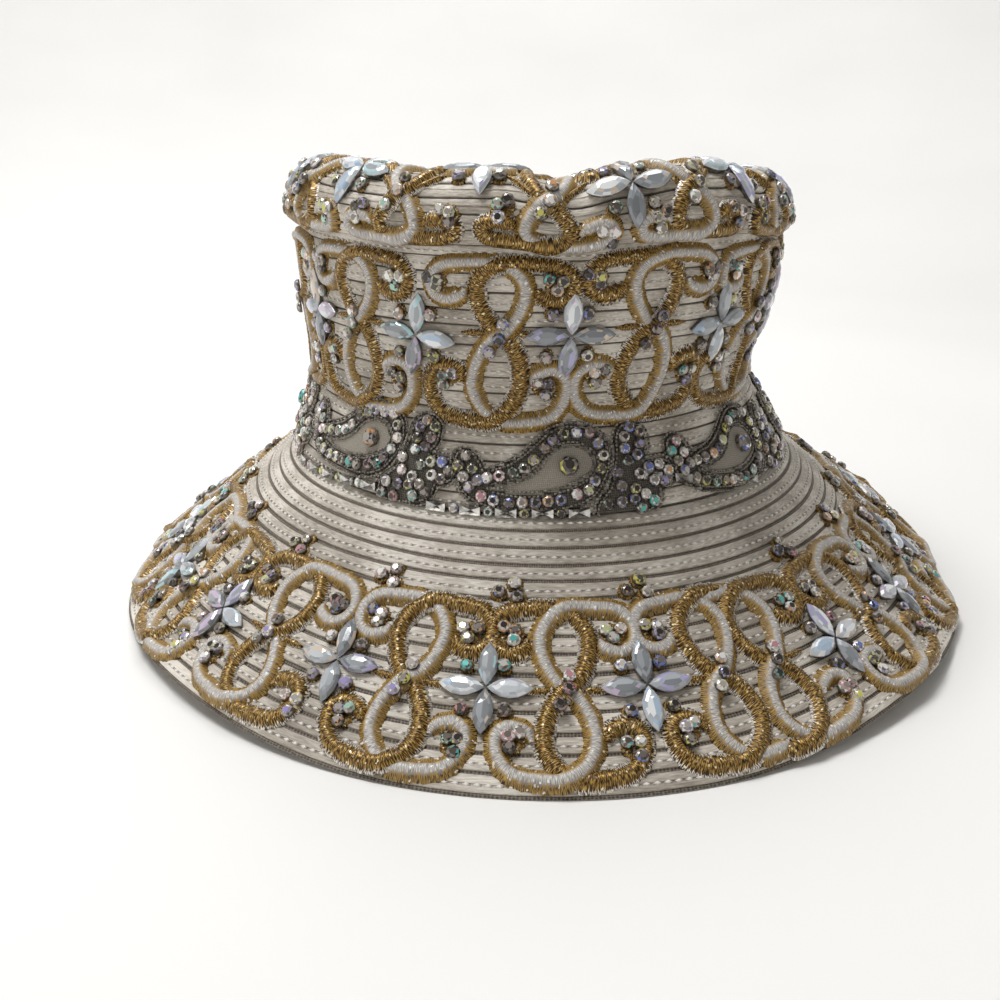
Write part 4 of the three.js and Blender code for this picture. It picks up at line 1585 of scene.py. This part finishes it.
@dataclass
class PaisleyBand:
    """Beaded paisleys on dark net round the waist, each over a strip of set stones."""

    wall: CrownWall
    count: int = 8
    start: float = 5.5
    along: float = 17.2
    # By the ornament's number: millimetres up and degrees of turn by which the hand missed its place
    misses: Misses = field(default_factory=lambda: {1: (-3.5, -9.0), 7: (3.4, -3.0)})
    strip_misses: Misses = field(default_factory=lambda: {1: (-0.7, -12.0), 7: (2.0, 4.0)})
    net_out: float = 1.0
    net_thickness: float = 0.5
    net_cell: float = 1.1
    bead: Triple = (0.82, 0.5, 0.56)  # half its length, width and height
    bead_pitch: float = 1.5
    bead_rows_apart: float = 0.8
    bead_miss: float = 0.06
    bead_sizes: tuple[float, float] = (0.9, 1.08)
    bead_bed: float = 0.6  # height of a bead's middle over the net, as a share of its half-height
    stone_radius: float = 2.15
    centre_radius: float = 3.5
    strip_height: float = -16.0
    strip_pitch: float = 6.25
    strip_from: float = -48.8
    strip_links: int = 9
    strip_out: float = 0.8
    strip_stone_radius: float = 1.9
    link: Triple = (3.9, 1.7, 1.9)  # half the length and width of a cast link, and its height
    link_top: tuple[float, float] = (0.96, 0.92)  # its top as shares of its foot
    link_dish: float = 0.5  # height of the middle of its hollow top
    net_corners: Chart = ((-42.0, -21.0), (41.0, 16.5))
    seed: int = 11
    stones: Chart = (
        (-28.8, -4.7), (-24.5, -3.8), (-19.4, -2.6), (-15.4, -0.9), (-11.7, 2.0), (-7.3, 6.4),
        (-3.8, 9.0), (0.0, 11.1), (4.5, 11.4), (8.9, 11.4), (11.4, 7.3), (12.5, 2.9),
        (10.8, -1.7), (8.0, -5.8), (5.4, -8.7), (1.2, -9.9), (-4.7, -11.7), (-9.0, -11.9),
        (-13.4, -12.5), (-17.9, -12.5), (-22.4, -12.8), (-27.7, -12.2), (-31.8, -11.1), (-35.8, -8.4),
        (-32.3, -5.8), (-37.3, -5.0), (-33.5, -1.7), (-38.5, -1.2), (-35.0, 2.6), (16.3, -3.5),
        (21.0, 0.3), (24.8, 2.0), (20.7, 4.7), (26.5, 5.8), (21.3, 8.7), (27.1, 9.9),
        (23.6, 11.9), (24.5, -4.7), (28.3, -2.9), (32.6, -2.3), (35.8, -5.0), (29.7, -7.6),
        (33.5, -8.4), (17.2, -8.2), (22.1, -9.6), (25.6, -11.7), (21.3, -12.8), (16.6, -13.4),
        (11.4, -13.7), (9.9, -17.8), (15.4, -17.8), (23.6, -16.0), (28.6, -14.0),
    )  # fmt: skip
    drop_outline: Chart = (
        (-40.4, -6.4), (-40.6, -1.5), (-39.2, 2.9), (-36.0, 5.0), (-32.3, 4.4), (-30.0, 0.5),
        (-29.0, -2.0), (-25.6, -0.8), (-19.8, 1.4), (-14.0, 5.2), (-8.7, 9.6), (-4.1, 13.1),
        (1.2, 14.8), (7.0, 14.5), (11.2, 12.6), (14.0, 9.0), (15.4, 4.4), (14.6, -1.0),
        (12.0, -6.0), (8.6, -10.2), (4.0, -13.0), (-3.0, -14.9), (-12.0, -15.3), (-22.0, -15.3),
        (-30.0, -14.8), (-36.0, -12.8), (-39.4, -9.8),
    )  # fmt: skip
    drop_opening: Chart = (
        (-28.5, -8.2), (-21.5, -6.0), (-15.7, -3.7), (-10.5, -0.2), (-7.6, 3.3), (-4.1, 6.2),
        (1.2, 7.6), (5.8, 6.8), (8.8, 4.0), (9.6, 0.6), (7.6, -2.9), (3.5, -5.4),
        (-1.7, -7.6), (-7.6, -9.1), (-14.5, -9.9), (-21.5, -9.7),
    )  # fmt: skip
    spray_outline: Chart = (
        (15.4, -1.0), (16.9, 3.5), (17.7, 8.7), (19.8, 12.8), (23.8, 14.5), (27.6, 12.8),
        (29.8, 8.7), (29.3, 3.5), (27.4, 0.2), (31.0, 0.2), (35.5, -0.4), (38.8, -4.1),
        (37.2, -9.0), (32.6, -11.0), (31.4, -14.5), (27.9, -17.4), (22.1, -19.2), (15.7, -20.2),
        (9.9, -20.2), (7.2, -17.4), (7.8, -13.6), (10.6, -10.5), (13.6, -7.0),
    )  # fmt: skip

    def build(self) -> list[bpy.types.Object]:
        """Make the net, the beads, the stones and the strips of all the paisleys.

        Returns:
            The pieces.
        """
        self.rng = np.random.default_rng(self.seed)
        nets, beads, stones, strips = Draft(), Draft(), Draft(), Draft()
        for index in range(self.count):
            self.net(nets, index)
            self.bead_rows(beads, index)
            self.set_stones(stones, index)
            self.strip(strips, stones, index)
        numbered = tuple(f"band_applique_{index + 1}" for index in range(self.count))
        return [
            nets.piece("band_paisley_net", (DARK_NET, SHEER_NET), Slot.BEADWORK, numbered),
            beads.piece("band_paisley_beads", (GUNMETAL,), Slot.BEADWORK),
            stones.piece("band_paisley_stones", (RHINESTONE, GUNMETAL), Slot.STONE),
            strips.piece("band_stone_strips", (SILVER, CUP_AND_PAINTED_SHADE), Slot.STONE),
        ]

    def laid(self, index: int, flat: Floats, misses: Misses) -> tuple[Floats, Floats]:
        """Lay part of an ornament's chart on the wall, where the hand put it.

        Args:
            index: the ornament's number round the hat.
            flat: flat millimetres from the middle of its largest stone.
            misses: the hand's misses, by the ornament's number.

        Returns:
            The angle and the distance along the wall of each point.
        """
        up, degrees = misses.get(index, NO_MISS)
        placed = turned(flat, degrees) + (0.0, up)
        return self.wall.laid(self.start + 360 * index / self.count, self.along, placed)

    def net(self, draft: Draft, index: int) -> None:
        """Cut the dark net to the outlines of the drop and the spray, and sheer net to the drop's middle.

        Args:
            draft: the mesh of the net.
            index: the paisley's number round the hat.
        """
        drop, opening, spray = (
            spline(np.array(chart), 6, closed=True)
            for chart in (self.drop_outline, self.drop_opening, self.spray_outline)
        )
        xs, ys = (np.arange(low, high, self.net_cell) for low, high in zip(*self.net_corners))
        grid = gridded(xs, ys).reshape(-1, 2)
        quads, _ = patchwork(len(xs), len(ys))
        middles = grid[quads].mean(axis=1)
        kept = enclosed(middles, drop) | enclosed(middles, spray)
        sheer = enclosed(middles, opening)[kept].astype(int)
        quads = quads[kept]
        used, local = np.unique(quads, return_inverse=True)
        local = local.reshape(quads.shape)
        flat = grid[used]
        angles, along = self.laid(index, flat, self.misses)
        top = self.wall.raised(angles, along, self.net_out + self.net_thickness)
        foot = self.wall.raised(angles, along, self.net_out)
        chart = flat[local]
        draft.add(np.vstack([top, foot]), local, chart, look=sheer)
        number = len(flat)
        draft.add(None, local[:, ::-1] + number, chart[:, ::-1], look=sheer, back=2 * number)
        sides = np.concatenate([local[:, [corner, (corner + 1) % 4]] for corner in range(4)])
        keys = {(a, b) for a, b in sides.tolist()}
        rim = np.array([(b, a, a + number, b + number) for a, b in sides.tolist() if (b, a) not in keys])
        draft.add(None, rim[:, ::-1], back=2 * number)

    def bead_rows(self, draft: Draft, index: int) -> None:
        """Sew double rows of long seed beads along the outlines.

        Args:
            draft: the mesh of the beads.
            index: the paisley's number round the hat.
        """
        golden = (1 + 5**0.5) / 2
        shape = np.array(
            [(x, y * golden, 0) for x in (-1, 1) for y in (-1, 1)]
            + [(0, x, y * golden) for x in (-1, 1) for y in (-1, 1)]
            + [(x * golden, 0, y) for y in (-1, 1) for x in (-1, 1)],
            dtype=float,
        )
        shape = unit(shape)
        faces = hull_triangles(shape)
        shape = shape * self.bead
        tilt = math.radians(self.misses.get(index, NO_MISS)[1])
        for chart in (self.drop_outline, self.drop_opening, self.spray_outline):
            path = spline(np.array(chart), 10, closed=True)
            for offset in (-self.bead_rows_apart, self.bead_rows_apart):
                middle, heading = spaced(path, self.bead_pitch, closed=True)
                aside = np.stack([-heading[:, 1], heading[:, 0]], axis=1)
                miss = self.rng.uniform(-self.bead_miss, self.bead_miss, middle.shape)
                flat = middle + aside * offset + miss
                angles, along = self.laid(index, flat, self.misses)
                out = self.net_out + self.net_thickness + self.bead_bed * self.bead[2]
                places = self.wall.raised(angles, along, out)
                across, up, off = np.moveaxis(self.wall.bases(angles, along), -2, 0)
                lead = np.arctan2(heading[:, 1], heading[:, 0])[:, None] + tilt
                ahead = across * np.cos(lead) + up * np.sin(lead)
                bases = np.stack([ahead, np.cross(off, ahead), off], axis=1)
                sizes = self.rng.uniform(*self.bead_sizes, (len(flat), 1, 1))
                draft.stamp(shape, faces, places, bases * sizes)

    def set_stones(self, draft: Draft, index: int) -> None:
        """Set the paisley's stones on the net, and its largest stone in the middle of the drop.

        Args:
            draft: the mesh of the stones.
            index: the paisley's number round the hat.
        """
        # The middle stone: more coat colour and more tables with a painted dark reflection
        largest = Rhinestone(coloured=0.55, painted_dark_tables=0.6)
        for cut, flat, radius in (
            (Rhinestone(), np.array(self.stones), self.stone_radius),
            (largest, np.zeros((1, 2)), self.centre_radius),
        ):
            angles, along = self.laid(index, flat, self.misses)
            places = self.wall.raised(angles, along, self.net_out + self.net_thickness)
            cut.set_down(draft, places, self.wall.bases(angles, along), np.full(len(flat), radius), self.rng)

    def strip(self, draft: Draft, stones: Draft, index: int) -> None:
        """Lay the strip of cast links with a stone between each two.

        Args:
            draft: the mesh of the cast links.
            stones: the mesh of the stones.
            index: the paisley's number round the hat.
        """
        places = self.strip_from + np.arange(self.strip_links) * self.strip_pitch
        flat = np.stack([places, np.full(len(places), self.strip_height)], axis=1)
        angles, along = self.laid(index, flat, self.strip_misses)
        foot = self.wall.raised(angles, along, self.strip_out)
        tilt = math.radians(self.strip_misses.get(index, NO_MISS)[1])
        bases = spun(self.wall.bases(angles, along), tilt)
        corners = np.array([(-1, -1), (1, -1), (1, 1), (-1, 1)]) * self.link[:2]
        low = np.column_stack([corners, np.zeros(4)])
        high = np.column_stack([corners * self.link_top, np.full(4, self.link[2])])
        shape = np.vstack([low, high, [[0.0, 0.0, self.link_dish]]])
        walls = np.array([[i, (i + 1) % 4, 4 + (i + 1) % 4, 4 + i] for i in range(4)])
        dish = np.array([[4 + i, 4 + (i + 1) % 4, 8] for i in range(4)])
        links = slice(0, None, 2)
        draft.stamp(shape, walls, foot[links], bases[links], smooth=False)
        draft.stamp(shape, dish[1::2], foot[links], bases[links], smooth=False, again=True)
        # The top and bottom facets of each hollow take the darker plating as painted shade; the side facets
        # stay bright
        draft.stamp(shape, dish[0::2], foot[links], bases[links], look=1, smooth=False, again=True)
        draft.stamp(shape, np.array([[3, 2, 1, 0]]), foot[links], bases[links], smooth=False, again=True)
        rounds = slice(1, None, 2)
        radius = np.full(len(foot[rounds]), self.strip_stone_radius)
        Rhinestone().set_down(stones, foot[rounds], bases[rounds], radius, self.rng)


@dataclass
class Studio:
    """Pale paper floor, soft lamps and the camera at the photograph's angle."""

    floor_radius: float = 0.6
    sweep_radius: float = 2.4
    sweep_top: float = 3.0
    camera_place: Triple = (-0.017, -0.5, 0.203)
    camera_pitch: float = 19.4
    focal_length: float = 42.73
    sky: str = "#fbf9f6"
    sky_strength: float = 0.22
    # Place, aim, size in metres and power in watts of each soft lamp
    lamps: tuple[tuple[Triple, Triple, float, float], ...] = (
        ((-0.45, 0.03, 1.28), (-0.4, 0.0, 0.0), 0.5, 11.5),
        ((-0.9, -0.7, 0.5), (0.0, 0.0, 0.08), 0.8, 0.9),
        ((0.0, 1.2, 2.0), (0.0, 1.3, 0.0), 1.4, 25.0),
    )

    def build(self) -> None:
        """Make the floor, the sky, the lamps and the camera."""
        self.paper()
        world = bpy.data.worlds.new("studio")
        world.use_nodes = True
        background = world.node_tree.nodes["Background"]
        background.inputs["Color"].default_value = linear(self.sky)
        background.inputs["Strength"].default_value = self.sky_strength
        bpy.context.scene.world = world
        for index, lamp in enumerate(self.lamps):
            self.lamp(f"soft_lamp_{index + 1}", *lamp)
        data = bpy.data.cameras.new("camera")
        data.lens = self.focal_length
        data.sensor_width = 36.0
        data.clip_start = 0.01
        camera = bpy.data.objects.new("camera", data)
        camera.location = self.camera_place
        camera.rotation_euler = (math.radians(90 - self.camera_pitch), 0.0, 0.0)
        bpy.context.scene.collection.objects.link(camera)
        bpy.context.scene.camera = camera
        bpy.context.scene.view_settings.view_transform = "Standard"

    def paper(self) -> None:
        """Roll the paper out as a round floor that sweeps up into a wall."""
        bend = np.linspace(0, np.pi / 2, 24)
        swept = self.floor_radius + self.sweep_radius * np.sin(bend)
        reach = np.concatenate([[0.001], swept, swept[-1:]])
        height = np.concatenate([[0.0], self.sweep_radius * (1 - np.cos(bend)), [self.sweep_top]])
        turn = np.radians(np.arange(0, 360, 5))[:, None]
        points = np.stack([reach * np.cos(turn), reach * np.sin(turn), height + 0 * turn], axis=-1)
        quads, _ = patchwork(len(turn), len(reach), round_rows=True)
        mesh = bpy.data.meshes.new("paper_floor")
        mesh.from_pydata(points.reshape(-1, 3).tolist(), [], quads[:, ::-1].tolist())
        mesh.shade_smooth()
        mesh.materials.append(material_of(PAPER))
        floor = bpy.data.objects.new("paper_floor", mesh)
        bpy.context.scene.collection.objects.link(floor)

    def lamp(self, name: str, place: Triple, target: Triple, size: float, power: float) -> None:
        """Hang a soft square lamp.

        Args:
            name: the lamp's name.
            place: where it hangs, in metres.
            target: what it points at, in metres.
            size: its side, in metres.
            power: its power, in watts.
        """
        data = bpy.data.lights.new(name, "AREA")
        data.size = size
        data.energy = power
        lamp = bpy.data.objects.new(name, data)
        lamp.location = place
        aim = np.array(target) - np.array(place)
        flat = math.hypot(aim[0], aim[1])
        lamp.rotation_euler = (math.atan2(flat, -aim[2]), 0.0, math.atan2(aim[1], aim[0]) - math.pi / 2)
        bpy.context.scene.collection.objects.link(lamp)


def main() -> None:
    """Build the hat round its frame, piece by piece, and report each."""
    logging.basicConfig(level=logging.INFO, format="%(name)s: %(message)s")
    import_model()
    crown, brim = CrownWall(), BrimWall()
    assemblies = (
        RibbonRows("crown", crown, 6.2, 216, crown.place("crease"), SHADED_NET, 0.11, (1.3, 0.5, 0.4)),
        RibbonRows("brim", brim, 6.35, 360, brim.length, ROW_NET, 0.2, (1.6, 0.68, 0.5), chart_from=400.0),
        LaceRing(
            "crown_tip",
            crown,
            12,
            15.0,
            crown.place("crease") + 29.8,
            24.6,
            crossing_up=-8.6,
            flower_misses={0: (3.0, -5.6), 11: (1.4, 5.9)},
            seed=3,
        ),
        LaceRing(
            "crown_side",
            crown,
            11,
            5.4,
            crown.place("side") - 1.4,
            29.8,
            flower_up=4.2,
            crossing_up=4.5,
            also_gold_over=(10,),
            eight_misses={0: (2.0, 1.8), 10: (3.2, 0.0)},
            flower_misses={1: (6.0, 0.0), 10: (0.0, -2.0)},
            seed=4,
        ),
        LaceRing(
            "brim",
            brim,
            18,
            11.3,
            33.0,
            28.8,
            twins=True,
            also_gold_over=(0,),
            eight_misses={
                1: (-5.5, -1.5),
                2: (-4.3, -1.5),
                3: (-3.5, -1.5),
                15: (-5.0, -1.5),
                16: (-3.8, 0.0),
            },
            flower_misses={1: (-3.3, -3.5), 2: (-3.7, -3.2), 14: (-3.2, -2.8), 15: (-6.1, -2.2)},
            topknots=True,
            seed=5,
        ),
        PaisleyBand(crown),
    )
    for assembly in assemblies:
        for piece in assembly.build():
            log.info("%s: %d faces", piece.name, len(piece.data.polygons))
    Studio().build()


if __name__ == "__main__":
    main()
